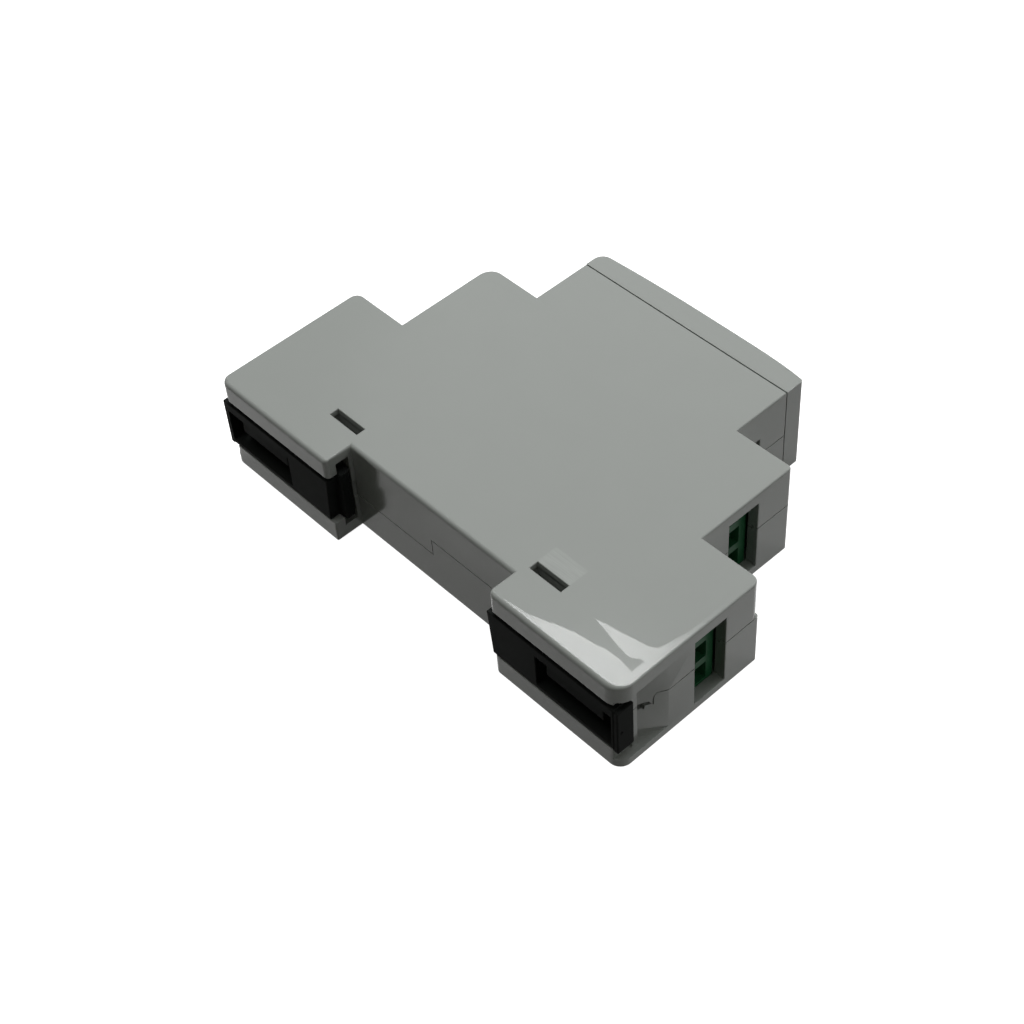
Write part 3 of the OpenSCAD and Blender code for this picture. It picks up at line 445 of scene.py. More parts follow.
shellColour = "#9da19e"
shellPlastic = mouldedPlastic("light grey moulded ABS", {
    "colour": shellColour, "drift": 0.012, "driftSize": 9, "roughness": 0.13, "roughDrift": 0.02,
    "patchSize": 4, "grainDepth": 0.0012, "markRun": (0.06, 1.0, 1.0), "markDepth": 0.0012, "waveSize": 24,
    "waveDepth": 0.03, "specular": 0.1}, footShine)
clipPlastic = mouldedPlastic("black moulded polyamide", {
    "colour": "#282a29", "grainSize": 0.16, "grainDepth": 0.004, "waveSize": 14, "waveDepth": 0.03,
    "specular": 0.003})
blockPlastic = mouldedPlastic("green moulded PBT", {
    "colour": "#225435", "driftSize": 4, "roughness": 0.34, "grainSize": 0.12, "grainDepth": 0.002,
    "markRun": (1.0, 0.1, 1.0), "specular": 0.05})
blackPlastic = mouldedPlastic("black glass-filled PBT", {
    "colour": "#26282b", "roughness": 0.5, "grainDepth": 0.005})
coverPlastic = mouldedPlastic("pale grey moulded PBT", {"colour": "#c9ccc6", "roughness": 0.42})
creamPlastic = mouldedPlastic("natural moulded polyester", {"colour": "#ddd7c4", "roughness": 0.48})
whitePlastic = mouldedPlastic("white acetal", {"colour": "#e6e3d8", "roughness": 0.36})
buttonPlastic = mouldedPlastic("dark grey moulded ABS", {"colour": "#44484b", "roughness": 0.42})
yellowEpoxy = mouldedPlastic("yellow polyester case with epoxy fill", {
    "colour": "#c29a26", "roughness": 0.38})
blueEpoxy = mouldedPlastic("blue dipped epoxy coat", {
    "colour": "#2a5a9c", "roughness": 0.3, "grainSize": 0.4, "grainDepth": 0.012, "waveSize": 2,
    "waveDepth": 0.08})
sleeveFilm = mouldedPlastic("dark shrink sleeve film", {
    "colour": "#22252c", "roughness": 0.28, "waveSize": 3})
chipEpoxy = mouldedPlastic("black transfer-moulded epoxy", {
    "colour": "#202224", "roughness": 0.55, "grainSize": 0.08, "grainDepth": 0.006})
magnetFerrite = mouldedPlastic("sintered hard ferrite", {
    "colour": "#3c3e42", "roughness": 0.55, "grainSize": 0.1, "grainDepth": 0.01, "ior": 2.0})
zincSteel = platedMetal("zinc plated steel", {"colour": "#bfc3c7", "roughness": 0.32})
nickelBrass = platedMetal("nickel plated brass", {"colour": "#c4bfae", "roughness": 0.3})
tinnedCopper = platedMetal("tinned copper", {"colour": "#c6c8ca", "roughness": 0.34})
solderMetal = platedMetal("reflowed tin solder", {"colour": "#c3c6c8", "roughness": 0.26, "cloudSize": 0.8})
goldBrass = platedMetal("bare brass", {"colour": "#c79f4e", "roughness": 0.3})
springBronze = platedMetal("rolled phosphor bronze", {"colour": "#c28a55", "roughness": 0.28})
copperEnamel = platedMetal("enamelled copper wire", {"colour": "#b5642f", "roughness": 0.24})
softIron = platedMetal("nickel plated soft iron", {"colour": "#a3a6a8", "roughness": 0.36})
canAluminium = platedMetal("drawn aluminium can", {"colour": "#c9ccce", "roughness": 0.3})


def solderMask(name, look):
    # Glass laminate board: a glossy green mask that rises over copper tracks and shows them paler, and on
    # the cut edges the bare straw-coloured laminate with its glass layers.
    material, tree, place = newMaterial(name)
    facing = addNode(tree, "ShaderNodeNewGeometry").outputs["Normal"]
    upright = addNode(tree, "ShaderNodeSeparateXYZ", {0: facing}).outputs[1]
    upright = addNode(tree, "ShaderNodeMath", {0: upright}, operation="ABSOLUTE")
    flat = addNode(tree, "ShaderNodeMath", {0: upright, 1: 0.5}, operation="GREATER_THAN")
    laid = addNode(tree, "ShaderNodeMapping", {"Vector": place, "Rotation": (math.pi / 2, 0, 0)})
    cells = addNode(tree, "ShaderNodeTexVoronoi", {
        "Vector": laid, "Scale": 1 / (look["trackSize"] * mm)}, distance="CHEBYCHEV")
    folded = addNode(tree, "ShaderNodeMath", {0: cells, 1: look["trackShare"]}, operation="PINGPONG")
    start, end = look["trackEdge"]
    tracks = addNode(tree, "ShaderNodeMapRange", {"Value": folded, "From Min": start, "From Max": end})
    layers = addNode(tree, "ShaderNodeMapping", {"Vector": place, "Scale": (0.15, 1, 0.15)})
    glass = addNode(tree, "ShaderNodeMix", {
        0: noise(tree, layers, 0.25, 2), 6: linearColour(look["edge"]), 7: shaded(look["edge"], 0.5),
    }, data_type="RGBA").outputs[2]
    mask = addNode(tree, "ShaderNodeMix", {
        0: tracks, 6: linearColour(look["mask"]), 7: linearColour(look["overCopper"]),
    }, data_type="RGBA").outputs[2]
    colour = addNode(tree, "ShaderNodeMix", {0: flat, 6: glass, 7: mask}, data_type="RGBA").outputs[2]
    rough = addNode(tree, "ShaderNodeMix", {0: flat, 2: 0.75, 3: noise(tree, place, 2, 2, 0.2, 0.32)})
    normal = relief(tree, (tracks, look["copperHeight"]))
    closed(tree, {"Base Color": colour, "Roughness": rough, "Normal": normal})
    return material


boardMask = solderMask("green solder mask on glass laminate", {
    "mask": "#1c4a30", "overCopper": "#2f6a3f", "edge": "#a89a62", "trackSize": 6, "trackShare": 0.17,
    "trackEdge": (0.07, 0.095), "copperHeight": 0.035})


def litPlastic(name, look):
    # Clear or tinted moulded plastic of a lamp: light passes through its glossy skin, with faint flow waves.
    material, tree, place = newMaterial(name)
    normal = relief(tree, (noise(tree, place, 0.8, 1), 0.01))
    closed(tree, {"Base Color": linearColour(look["colour"]), "Roughness": look["roughness"], "IOR": 1.55,
                  "Transmission Weight": look["through"], "Normal": normal})
    return material


clearEpoxy = litPlastic("clear lamp epoxy", {"colour": "#dfe8dc", "roughness": 0.12, "through": 0.7})
greenLens = litPlastic("clear green polycarbonate", {"colour": "#3fae54", "roughness": 0.15, "through": 0.5})
print("finishes ready")

nodeFinishes = {name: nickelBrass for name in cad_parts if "_cage_" in name}  # solids seen as they are
nodeFinishes.update({
    "relay_base": blackPlastic, "relay_cover": coverPlastic, "relay_bobbin": creamPlastic,
    "relay_yoke": softIron, "relay_magnet": magnetFerrite, "relay_armature": softIron,
    "relay_lever": blackPlastic, "relay_pusher": whitePlastic, "relay_moving_contact": springBronze,
    "relay_fixed_contacts": goldBrass, "relay_pins": tinnedCopper, "terminal_pins": tinnedCopper,
    "lower_board": boardMask, "middle_board": boardMask, "front_board": boardMask,
})
for name, finish in nodeFinishes.items():
    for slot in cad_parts[name].material_slots:
        slot.material = finish


# Housing halves

shell = {
    "sideWall": 1.4, "endWall": 2, "shoulder": 1.5, "frontWall": 1.5,
    "halfBase": 45, "baseTop": 23.8, "halfMiddle": 33.5, "middleTop": 43.5, "halfFront": 22.3,
    "frontTop": 54.8, "footDepth": 5.1, "halfGap": 18.4, "slot": (19.5, 26, 2.3, 3.95), "collar": 0.9,
    # radii at the right foot's end, the left foot's inner corner and the right shoulder of each half
    "lowerRounds": (2.1, 0.25, 0.6), "upperRounds": (3, 0.87, 1.5), "leftFootRound": 1.8,
    "rightGapRound": 1.2, "rightTierRound": 0.7, "leftTierRound": 2.6, "leftEndRound": 1.6,
    "endRim": 0.3, "rearRim": 0.72, "frontRim": 0.17, "seamRim": 0.05, "lowRim": 0.12, "flare": 0.09,
    "slant": (2.6, 4.6),  # width and height of the slanting wall behind the wedge pocket
    "window": (0.6, 7, 1.55, 15.75),  # a wire window over its board and across
    "screwBack": 6.25, "screwRadius": 1.75, "latchWindow": (46.3, 48.95, 6, 12), "tool": 2.5,
    "ribs": ((25, 8), (40.5, 8), (16, 27.5), (27, 27.5), (12, 48)), "ribHeight": 1.4,
    "posts": ((32.5, 4.4, 10.1), (16.5, 44.9, 8.6)), "postRadius": 2.1, "pinRadius": 1.1,
}
channel = {  # of a clip: its wide part, its mouth, the opening at the end and the wedge pocket above that
    "end": 43.5, "wide": (-3.2, -0.7, 2.3, 16.2), "mouth": (4, 14.1), "opening": (-6, -1.6, 1.6, 14.7),
    "wedgeIn": (1.1, 1.75), "wedgeStep": -0.5, "wedgeTop": (4.8, 5.18), "wedgeAcross": (1.55, 15.4),
}
seam = {"base": 10.1, "seat": 6.9, "seatStep": -0.4, "front": 8.6, "gap": 0.16,
        "lips": ((42.9, 16.5), (31.4, 36)), "lipHeight": 2.9, "lipDepth": 0.7}


def shellReach(normal, y):  # the upper side's edges: rounder behind, sharp at the cap
    s = shell
    if normal[1] > 0.9 and y > s["frontTop"] - 0.1:
        return s["seamRim"]
    behind, ahead = max(0, -normal[1]) ** 2, max(0, normal[1]) ** 2
    return s["endRim"] + (s["rearRim"] - s["endRim"]) * behind + (s["frontRim"] - s["endRim"]) * ahead


def channelTools():  # for the right end
    c, base, start = channel, shell["halfBase"], shell["halfGap"] - 1
    yield boxSolid(start, c["end"] + 0.01, *c["wide"])
    mouth = rectangle(start, c["end"], *c["mouth"])
    yield flaredHole(mouth, "y", c["wide"][0] + 0.1, -shell["footDepth"], shell["flare"])
    yield boxSolid(c["end"] - 0.01, base + 1, *c["opening"])
    near, far = c["wedgeIn"]
    low, step, (high, out) = c["opening"][1] - 0.01, c["wedgeStep"], c["wedgeTop"]
    yield prism([(base + 1, low), (base - near, low), (base - near, step), (base - far, step), (base, high),
                 (base + 1, out)], *c["wedgeAcross"])


def shellHoles():  # wire windows, screw holes, latch window and tool slots of the right end
    s = shell
    flare, tool, holes = s["flare"], s["tool"], []
    walls = ((s["halfBase"], "lower", s["baseTop"]), (s["halfMiddle"], "middle", s["middleTop"]))
    for wall, name, top in walls:
        low, high, *across = s["window"]
        window = rectangle(boards[name] + low, boards[name] + high, *across)
        holes.append(flaredHole(window, "x", wall - tool, wall, flare))
        for z in poles:
            screwHole = circle(wall - s["screwBack"], z, s["screwRadius"])
            holes.append(flaredHole(screwHole, "y", top - tool, top, flare))
    front, slot = s["halfFront"], rectangle(*s["slot"])
    holes.append(flaredHole(rectangle(*s["latchWindow"]), "x", front - tool, front, flare))
    holes.append(flaredHole(slot, "z", width - s["sideWall"] - 0.5, width, flare))
    holes.append(flaredHole(slot, "z", s["sideWall"] + 0.5, 0, flare))
    return holes


def fullShell(footRound, gapRound, shoulderRound):
    s = shell
    base, middle, front, gap = s["halfBase"], s["halfMiddle"], s["halfFront"], s["halfGap"]
    foot, baseTop, middleTop, frontTop = s["footDepth"], s["baseTop"], s["middleTop"], s["frontTop"]
    line = roundedOutline([
        (-base, -foot, s["leftFootRound"]), (-gap, -foot, gapRound), (-gap, 0, 0), (gap, 0, 0),
        (gap, -foot, s["rightGapRound"]), (base, -foot, footRound), (base, baseTop, shoulderRound),
        (middle, baseTop, 0), (middle, middleTop, s["rightTierRound"]), (front, middleTop, 0),
        (front, frontTop, 0), (-front, frontTop, 0), (-front, middleTop, 0),
        (-middle, middleTop, s["leftTierRound"]), (-middle, baseTop, 0), (-base, baseTop, s["leftEndRound"]),
    ])
    mesh = rimmedPrism(line, 0, width, shellReach, even(s["lowRim"]))
    inBase, inMiddle, inFront = base - s["endWall"], middle - s["endWall"], front - s["frontWall"]
    wall, (across, up) = s["shoulder"], s["slant"]
    half = [
        (inBase - across, wall), (inBase, wall + up), (inBase, baseTop - wall), (inMiddle, baseTop - wall),
        (inMiddle, middleTop - wall), (inFront, middleTop - wall), (inFront, frontTop + 1),
    ]
    cavity = half + [(-x, y) for x, y in reversed(half)]
    mesh = combined(mesh, prism(cavity, s["sideWall"], width - s["sideWall"]))
    for tool in channelTools():
        mesh = combined(mesh, bothEnds([tool]))
    return combined(mesh, bothEnds(shellHoles()))


def seamTool(shift):  # what lies under the seam, moved up by shift
    s, d = seam, -shift
    tool = boxSolid(-60, 60, -10, 70, -1, s["base"] + shift)
    # in the wedge pocket the lower half rises a little and the upper half hooks down
    rise = [(4.94, 10.1 + shift), (3.5, 10.48 + shift), (3.03, 10.52 + shift), (2.66 - d, 10.12 + shift),
            (2.6, 9.9), (4.94, 9.9)]
    tool = combined(tool, bothEnds([prism(rise[::-1], 41.2, 46, "x")]), "UNION")
    hook = [(2.66 + d, 10.3), (2.66 + d, 10.12), (2.45 + d, 9.46), (2.42 + d, 8.18)]
    if shift < 0:
        hook += [(2.06, 8.5), (1.12, 8.7), (1.05, 7.96), (0.84, 7.96), (0.75, 8.4), (-0.2, 8.43),
                 (-0.2, 10.3)]
    else:
        hook += [(1.82, 9.25), (1.09, 9.48), (-0.14, 9.61), (-0.14, 10.3)]
    lips = [boxSolid(x, x + 1 + d, y, y + s["lipHeight"] + d, s["base"] - s["lipDepth"] - d, 10.3)
            for x, y in s["lips"]]  # beside each wire window
    tool = combined(tool, bothEnds([prism(hook[::-1], 41.2, 46, "x")] + lips))
    halfGap, inside = shell["halfGap"] + d, shell["shoulder"] + d
    steps = [boxSolid(-halfGap, s["seatStep"] + d, -2, inside, s["seat"] - d, 12),
             boxSolid(-60, 60, shell["middleTop"] - d, 70, s["front"] - d, 12)]
    return combined(tool, joined(steps))


def ribs(face, way):  # ribs under the boards and a collar round the slot, on one side wall
    low, high = sorted((face - way * 0.2, face + way))
    made = [boxSolid(x - 1, x + 1, y - shell["ribHeight"], y, low, high) for x, y in shell["ribs"]]
    low, high = sorted((face - way * 0.3, face + way * 1.5))
    x0, x1, y0, y1 = shell["slot"]
    more = shell["collar"]
    collar = boxSolid(x0 - more, x1 + more, y0 - more, y1 + more, low, high)
    return made + [combined(collar, boxSolid(x0, x1, y0, y1, low - 1, high + 1))]


def posts(upper):  # the lower half's pins stand in the upper half's posts
    made, radius, pin = [], shell["postRadius"], shell["pinRadius"]
    for x, y, top in shell["posts"]:
        if upper:
            post = rod(x, y, radius, top + 0.05, 16.8, "z")
            made.append(combined(post, rod(x, y, pin + 0.05, top - 1, top + 3.3, "z")))
        else:
            made.append(rod(x, y, radius, 1.2, top - 0.05, "z"))
            made.append(rod(x, y, pin, top - 0.1, top + 3, "z", chamfer=0.2))
    return made


lowerHalf = combined(fullShell(*shell["lowerRounds"]), seamTool(-seam["gap"] / 2), "INTERSECT")
upperHalf = combined(fullShell(*shell["upperRounds"]), seamTool(seam["gap"] / 2))
lowerInside = bothEnds(ribs(shell["sideWall"], 1) + posts(False))
upperInside = bothEnds(ribs(width - shell["sideWall"], -1) + posts(True))
for level, half, inside in (("lower", lowerHalf, lowerInside), ("upper", upperHalf, upperInside)):
    finished(f"housing_{level}", [(half, shellPlastic), (inside, shellPlastic)],
             stands=[f"{level}_housing_half"], angle=20)
print("housing halves done")


# Front cap with its latches

cap = {
    "half": 22.3, "low": 55.0, "ends": 58.7, "crown": 59.4, "wall": 1.6, "rim": 0.34, "seamRim": 0.04,
    "lowRim": 0.1, "rightRound": 0.6, "leftRound": 2, "rightPower": 5,  # the crown is fuller to the right
    "skirt": 20.75, "skirtLow": 52.5, "skirtSide": 1.45, "skirtWall": 1,
    "armLow": 45.8, "armHigh": 54.8, "armAcross": (5, 13), "latchAcross": (6.1, 11.9),
    "latch": ((20.25, 46.4), (20.75, 46.4), (21.75, 48.55), (21.75, 48.85), (20.25, 48.85)),
    "buttonRadius": 3.03, "lensX": -18.0, "lensRadius": 1.42, "lensSunk": 0.44,
}


def frontCap():
    c = cap
    half, low, rise = c["half"], c["low"], c["crown"] - c["ends"]
    arch = []
    for x in (21.2 - 41.2 * k / 40 for k in range(41)):
        power = c["rightPower"] if x > 0 else 2
        arch.append((x, c["crown"] - rise * (abs(x) / half) ** power, 0))
    line = roundedOutline([(-half, low, 0), (half, low, 0), (half, c["ends"], c["rightRound"]), *arch,
                           (-half, c["ends"], c["leftRound"])])

    def capReach(normal, y):  # sharp where it meets the housing
        return c["rim"] + (c["seamRim"] - c["rim"]) * max(0, -normal[1]) ** 2

    mesh = rimmedPrism(line, 0, width, capReach, even(c["lowRim"]))
    skirt, side = c["skirt"], c["skirtSide"]
    mesh = combined(mesh, boxSolid(-skirt, skirt, c["skirtLow"], low + 0.4, side, width - side), "UNION")
    inner, side = skirt - c["skirtWall"], side + c["skirtWall"]
    mesh = combined(mesh, boxSolid(-inner, inner, 51, c["ends"] - c["wall"], side, width - side))
    button = flaredHole(circle(0, middleZ, c["buttonRadius"], 64), "y", 54, c["crown"], 0.12)
    lens = flaredHole(circle(c["lensX"], middleZ, c["lensRadius"]), "y", 54, c["crown"] - c["lensSunk"], 0.08)
    mesh = combined(mesh, joined([button, lens]))
    arm = roundedBox(inner, skirt, c["armLow"], c["armHigh"], *c["armAcross"], 0.15)
    return mesh, bothEnds([arm, prism(c["latch"], *c["latchAcross"])])


capShell, capLatches = frontCap()
finished("cap", [(capShell, shellPlastic), (capLatches, shellPlastic)], stands=["front_cap"])
print("cap done")


# Rail clips

clip = {
    "hookX": 16.6, "hookEnd": 19, "hookFront": -1.1, "hookEdge": 0.5, "blockX": 17.7, "blockEnd": 43.75,
    "flangeX": 18.7, "flangeEnd": 39.4, "front": -0.8, "neck": -1.7, "back": -3.1, "rear": -5.1,
    "low": 4.1, "high": 14.0, "rearHigh": 13.2, "lean": 0.075, "wideLow": 2.4, "wideHigh": 16.1,
    "tab": (43.6, 44.5, -5.0, -1.7, 3.6, 13.0), "pit": (-4.2, 8.1), "pry": (27.9, 43.2, 4.9, 11.4),
    "tongue": (29.3, 41.0, -4.3, -2.0, 7.7, 11.45), "leftPull": 1.1, "edge": 0.2, "rim": 0.12,
}


def railClip():
    c = clip
    low, high, back, front, bevel = c["low"], c["high"], c["back"], c["hookFront"], c["hookEdge"]
    hook = roundedOutline([
        (c["hookX"], back, 0.15), (c["hookEnd"], back, 0), (c["hookEnd"], front, 0),
        (c["hookX"] + bevel, front, 0.1), (c["hookX"], front - bevel, 0.1)], 3)
    flange = roundedRectangle(c["flangeX"], c["flangeEnd"], back, c["front"], c["rim"])
    mesh = rimmedPrism(flange, c["wideLow"], c["wideHigh"], even(c["rim"]), steps=2)
    mesh = combined(mesh, rimmedPrism(hook, low + 0.02, high - 0.02, even(c["rim"]), steps=2), "UNION")
    rear = roundedBox(c["blockX"], c["blockEnd"], c["rear"], back + 0.1, low, c["rearHigh"], c["edge"])
    for vertex in rear.vertices:  # its inner end leans
        if vertex.co.x < (c["blockX"] + 0.5) * mm:
            vertex.co.x += c["lean"] * max(0, high * mm - vertex.co.z)
    mesh = combined(mesh, rear, "UNION")
    start, end = c["flangeEnd"] - 0.1, c["blockEnd"] - 0.05
    neck = boxSolid(start, end, back - 0.3, c["neck"], low + 0.03, high - 0.03)
    mesh = combined(mesh, neck, "UNION")
    tab = roundedBox(*c["tab"], 0.22)
    tab = combined(tab, lathed([(0.1, 44.25), (0.4, 44.6)], *c["pit"], "x", 12))  # a small moulding pit
    mesh = combined(mesh, tab, "UNION")
    mesh = combined(mesh, flaredHole(rectangle(*c["pry"]), "y", 1, c["rear"], 0.1))
    return mesh, roundedBox(*c["tongue"], c["edge"])


rightClip = railClip()
leftClip = [shifted(mirrored(m), -clip["leftPull"]) for m in rightClip]
for side, meshes in (("right", rightClip), ("left", leftClip)):
    finished(f"clip_{side}", [(m, clipPlastic) for m in meshes], f"{side}_clip", [f"rail_clip_{side}"])
print("clips done")


# Terminal blocks

block = {
    "face": 42.95, "depth": 8, "height": 11.6, "step": 6.7, "setBack": 1.5, "low": 1.5, "high": 16.5,
    "edge": 0.15, "mouth": (0.9, 5.1, -1.8, 1.8), "throat": (1.5, 4.5, -1.5, 1.5), "throatDepths": (1.3, 2.2),
    "chamber": (6.45, 1.95, 0.95, 9.25, 2.05), "pinSlot": (7.6, 6.3, 5.3, 1.2), "screwBack": 4.2,
    "shaftRadius": 1.85, "ledgeRadius": 1.45, "ledgeHeight": 9.47,  # the screw heads seat on ledges
}


def terminalBlock():
    b = block
    face, board = b["face"], boards["lower"]
    back, rear, top, step = face - b["depth"], face - b["setBack"], board + b["height"], board + b["step"]
    line = roundedOutline([(back, board, 0), (face, board, 0.2), (face, step, 0.25), (rear, step, 0),
                           (rear, top, 0.25), (back, top, 0.2)], 3)
    mesh = rimmedPrism(line, b["low"], b["high"], even(b["edge"]), steps=2)
    deep, shallow, low, high, half = b["chamber"]
    slotDeep, slotShallow, slotHigh, slotHalf = b["pinSlot"]
    ledge, narrow, wide = board + b["ledgeHeight"], b["ledgeRadius"], b["shaftRadius"]
    funnels, chambers, shafts, slots = [], [], [], []
    for z in poles:
        mouth = [(face + 0.05, board + y, z + w) for y, w in rectangle(*b["mouth"])]
        throats = [[(face - depth, board + y, z + w) for y, w in rectangle(*b["throat"])]
                   for depth in b["throatDepths"]]
        funnels.append(solidFromRings([mouth, *throats]))
        chambers.append(boxSolid(face - deep, face - shallow, board + low, board + high, z - half, z + half))
        shafts.append(lathed([(narrow, board + 9.2), (narrow, ledge), (wide, ledge), (wide, board + 12)],
                             face - b["screwBack"], z))
        slots.append(boxSolid(face - slotDeep, face - slotShallow, board - 1, board + slotHigh,
                              z - slotHalf, z + slotHalf))
    for tools in (funnels, chambers, shafts, slots):
        mesh = combined(mesh, joined(tools))
    return mesh


firstBlock = terminalBlock()
for level, move in tiers.items():
    rightBlock = shifted(firstBlock, *move)
    for side, mesh in (("right", rightBlock), ("left", mirrored(rightBlock))):
        finished(f"block_{level}_{side}", [(mesh, blockPlastic)], stands=[f"{level}_{side}_block"])
print("terminal blocks done")


# Geometry Nodes: threads, winding and solder joints

def grownMesh(name, points, build, counts, lengths, material):  # build makes the form from the named inputs
    values = counts | {key: length * mm for key, length in lengths.items()}
    tree = bpy.data.node_groups.new(name, "GeometryNodeTree")
    tree.interface.new_socket("Points", in_out="INPUT", socket_type="NodeSocketGeometry")
    for key, value in values.items():
        kind = "NodeSocketInt" if isinstance(value, int) else "NodeSocketFloat"
        tree.interface.new_socket(key, in_out="INPUT", socket_type=kind)
    tree.interface.new_socket("Mesh", in_out="OUTPUT", socket_type="NodeSocketGeometry")
    fields = addNode(tree, "NodeGroupInput").outputs
    solid = addNode(tree, "GeometryNodeRealizeInstances", {0: build(tree, fields)})
    dressed = addNode(tree, "GeometryNodeSetMaterial", {0: solid, "Material": material})
    addNode(tree, "NodeGroupOutput", {0: dressed})
    base = bpy.data.meshes.new(name)
    base.from_pydata([Vector(p) * mm for p in points], [], [])
    piece = newPiece(name, base)
    growth = piece.modifiers.new(name, "NODES")
    growth.node_group = tree
    for item in tree.interface.items_tree:
        if item.in_out == "INPUT" and item.name in values:
            growth[item.identifier] = values[item.name]
    mesh = evaluatedMesh(piece)
    bpy.data.objects.remove(piece)
    bpy.data.meshes.remove(base)
    mesh.materials.clear()
    return mesh


def coiled(tree, fields):  # one wire that winds evenly up the Z axis
    path = addNode(tree, "GeometryNodeCurveSpiral", {
        "Resolution": fields["Steps a turn"], "Rotations": fields["Turns"], "Start Radius": fields["Radius"],
        "End Radius": fields["Radius"], "Height": fields["Length"]})
    wire = addNode(tree, "GeometryNodeCurvePrimitiveCircle", {
        "Resolution": fields["Sides"], "Radius": fields["Wire radius"]})
    return addNode(tree, "GeometryNodeCurveToMesh", {"Curve": path, "Profile Curve": wire, "Fill Caps": True})


def fillets(tree, fields):  # a concave cone of solder at each point, standing up along Z
    neck, foot = (addNode(tree, "GeometryNodeMeshCone", {
        "Vertices": fields["Sides"], "Radius Top": fields[top], "Radius Bottom": fields[bottom],
        "Depth": fields[height]}) for top, bottom, height in (("Pin", "Waist", "High height"),
                                                              ("Waist", "Foot", "Low height")))
    lift = addNode(tree, "ShaderNodeCombineXYZ", {2: fields["Low height"]})
    lifted = addNode(tree, "GeometryNodeTransform", {"Geometry": neck, "Translation": lift})
    both = addNode(tree, "GeometryNodeJoinGeometry", {0: lifted})
    tree.links.new(foot.outputs[0], both.inputs[0])
    return addNode(tree, "GeometryNodeInstanceOnPoints", {"Points": fields["Points"], "Instance": both})


# Terminal screws with their threads

screw = {"headRadius": 1.8, "headLow": 9.5, "headHigh": 11.3, "core": 1.2, "tip": 5.4,
         "threadRadius": 1.21, "ridge": 0.19, "threadFrom": 5.65, "threadLength": 3.6, "pitch": 0.5,
         "slotHalf": 0.3, "slotDeep": 0.9}


def screwMeshes():
    s = screw
    radius, low, high, core = s["headRadius"], s["headLow"], s["headHigh"], s["core"]
    head = lathed([(radius - 0.15, low), (radius, low + 0.12), (radius, high - 0.2),
                   (radius - 0.08, high - 0.06), (radius - 0.24, high)], 0, 0)
    head = combined(head, boxSolid(-3, 3, high - s["slotDeep"], high + 1, -s["slotHalf"], s["slotHalf"]))
    shank = lathed([(core - 0.35, s["tip"]), (core, s["tip"] + 0.3), (core, low + 0.05)], 0, 0, count=24)
    thread = grownMesh("screw thread", [(0, 0, 0)], coiled,
                       {"Steps a turn": 24, "Turns": s["threadLength"] / s["pitch"], "Sides": 3},
                       {"Radius": s["threadRadius"], "Length": s["threadLength"], "Wire radius": s["ridge"]},
                       zincSteel)
    return head, shank, shifted(turnedAbout(thread, "X", -90), 0, s["threadFrom"], 0)


screwParts = screwMeshes()
for level, (across, up) in tiers.items():
    for side, way in (("right", 1), ("left", -1)):
        x = way * (block["face"] + across - block["screwBack"])
        for i, z in enumerate(poles, 1):
            body = f"{level}_{side}_screw_{i}"
            parts = [(shifted(m, x, boards["lower"] + up, z), zincSteel) for m in screwParts]
            finished("terminal_" + body, parts, body, [body])
print("screws done")


# Places of the board parts, and their solder joints

header = {"x": -5.5, "frontX": 10, "pitch": 2.54, "half": 1.25, "pin": 0.32}
relay = {"x": -2, "length": 29, "height": 15.7, "half": 6.35, "wall": 0.8,
         "pins": ((2.5, -3.75), (2.5, 3.75), (21.2, -3.75), (24.2, 3.75), (27.2, -3.75)),
         "coilX": 3.9, "coilY": 9, "coilLength": 10.6, "coilRadius": 3.77, "turns": 42.0, "wireRadius": 0.125}
film = {"x": (-24.983, -9.983), "y": (9.6, 20.6), "z": (5.5, 12.5), "pins": (-22.483, -12.483)}
varistor = {"x": (-31.717, -28.217), "y": 14.1, "radius": 3.5, "pins": (6.5, 11.5)}
can = {"x": -13, "radius": 4, "height": 11.5, "pins": (7.75, 10.25)}
chip = {"x": (-2, 3), "z": (6, 12), "stand": 0.15, "middle": 0.75, "height": 1.45, "pitch": 1.27, "lead": 0.4}
lamp = {"x": -18.0, "radius": 1.35, "high": 52.8, "top": 59.4, "pins": (7.73, 10.27)}
joint = {"foot": 0.92, "pin": 0.42, "legFoot": 1.15, "legPin": 0.66, "low": 0.28, "high": 0.5,
         "legs": (("lower", 35.75), ("middle", 24.25))}


def pinRow(count):
    return [middleZ + (i - (count - 1) / 2) * header["pitch"] for i in range(count)]


def solder(places, turn, foot, pin):  # the cones are grown along Z and then turned to lie along Y
    laid = [(x, -z, y) if turn < 0 else (x, z, -y) for x, y, z in places]
    mesh = grownMesh("solder joints", laid, fillets, {"Sides": 20}, {
        "Foot": foot, "Waist": (foot + pin * 2) / 3, "Pin": pin, "Low height": joint["low"],
        "High height": joint["high"]}, solderMetal)
    return turnedAbout(mesh, "X", turn)


def solderJoints():  # where pins come out of the boards' undersides, and out of the headers' upper boards
    lower, middle, front = (boards[name] - boardThick for name in ("lower", "middle", "front"))
    rear = [(relay["x"] + x, lower, middleZ + z) for x, z in relay["pins"]]
    rear += [(header["x"], lower, z) for z in pinRow(5)] + [(x, lower, middleZ) for x in film["pins"]]
    rear += [(sum(varistor["x"]) / 2, lower, z) for z in varistor["pins"]]
    rear += [(can["x"], middle, z) for z in can["pins"]] + [(header["frontX"], middle, z) for z in pinRow(4)]
    rear += [(lamp["x"], front, z) for z in lamp["pins"]]
    top = [(header["x"], boards["middle"], z) for z in pinRow(5)]
    top += [(header["frontX"], boards["front"], z) for z in pinRow(4)]
    legs = [(way * x, boards[name] - boardThick, z)
            for name, x in joint["legs"] for way in (-1, 1) for z in poles]
    foot, pin = joint["foot"], joint["pin"]
    return joined([solder(rear, 90, foot, pin), solder(top, -90, foot, pin),
                   solder(legs, 90, joint["legFoot"], joint["legPin"])])


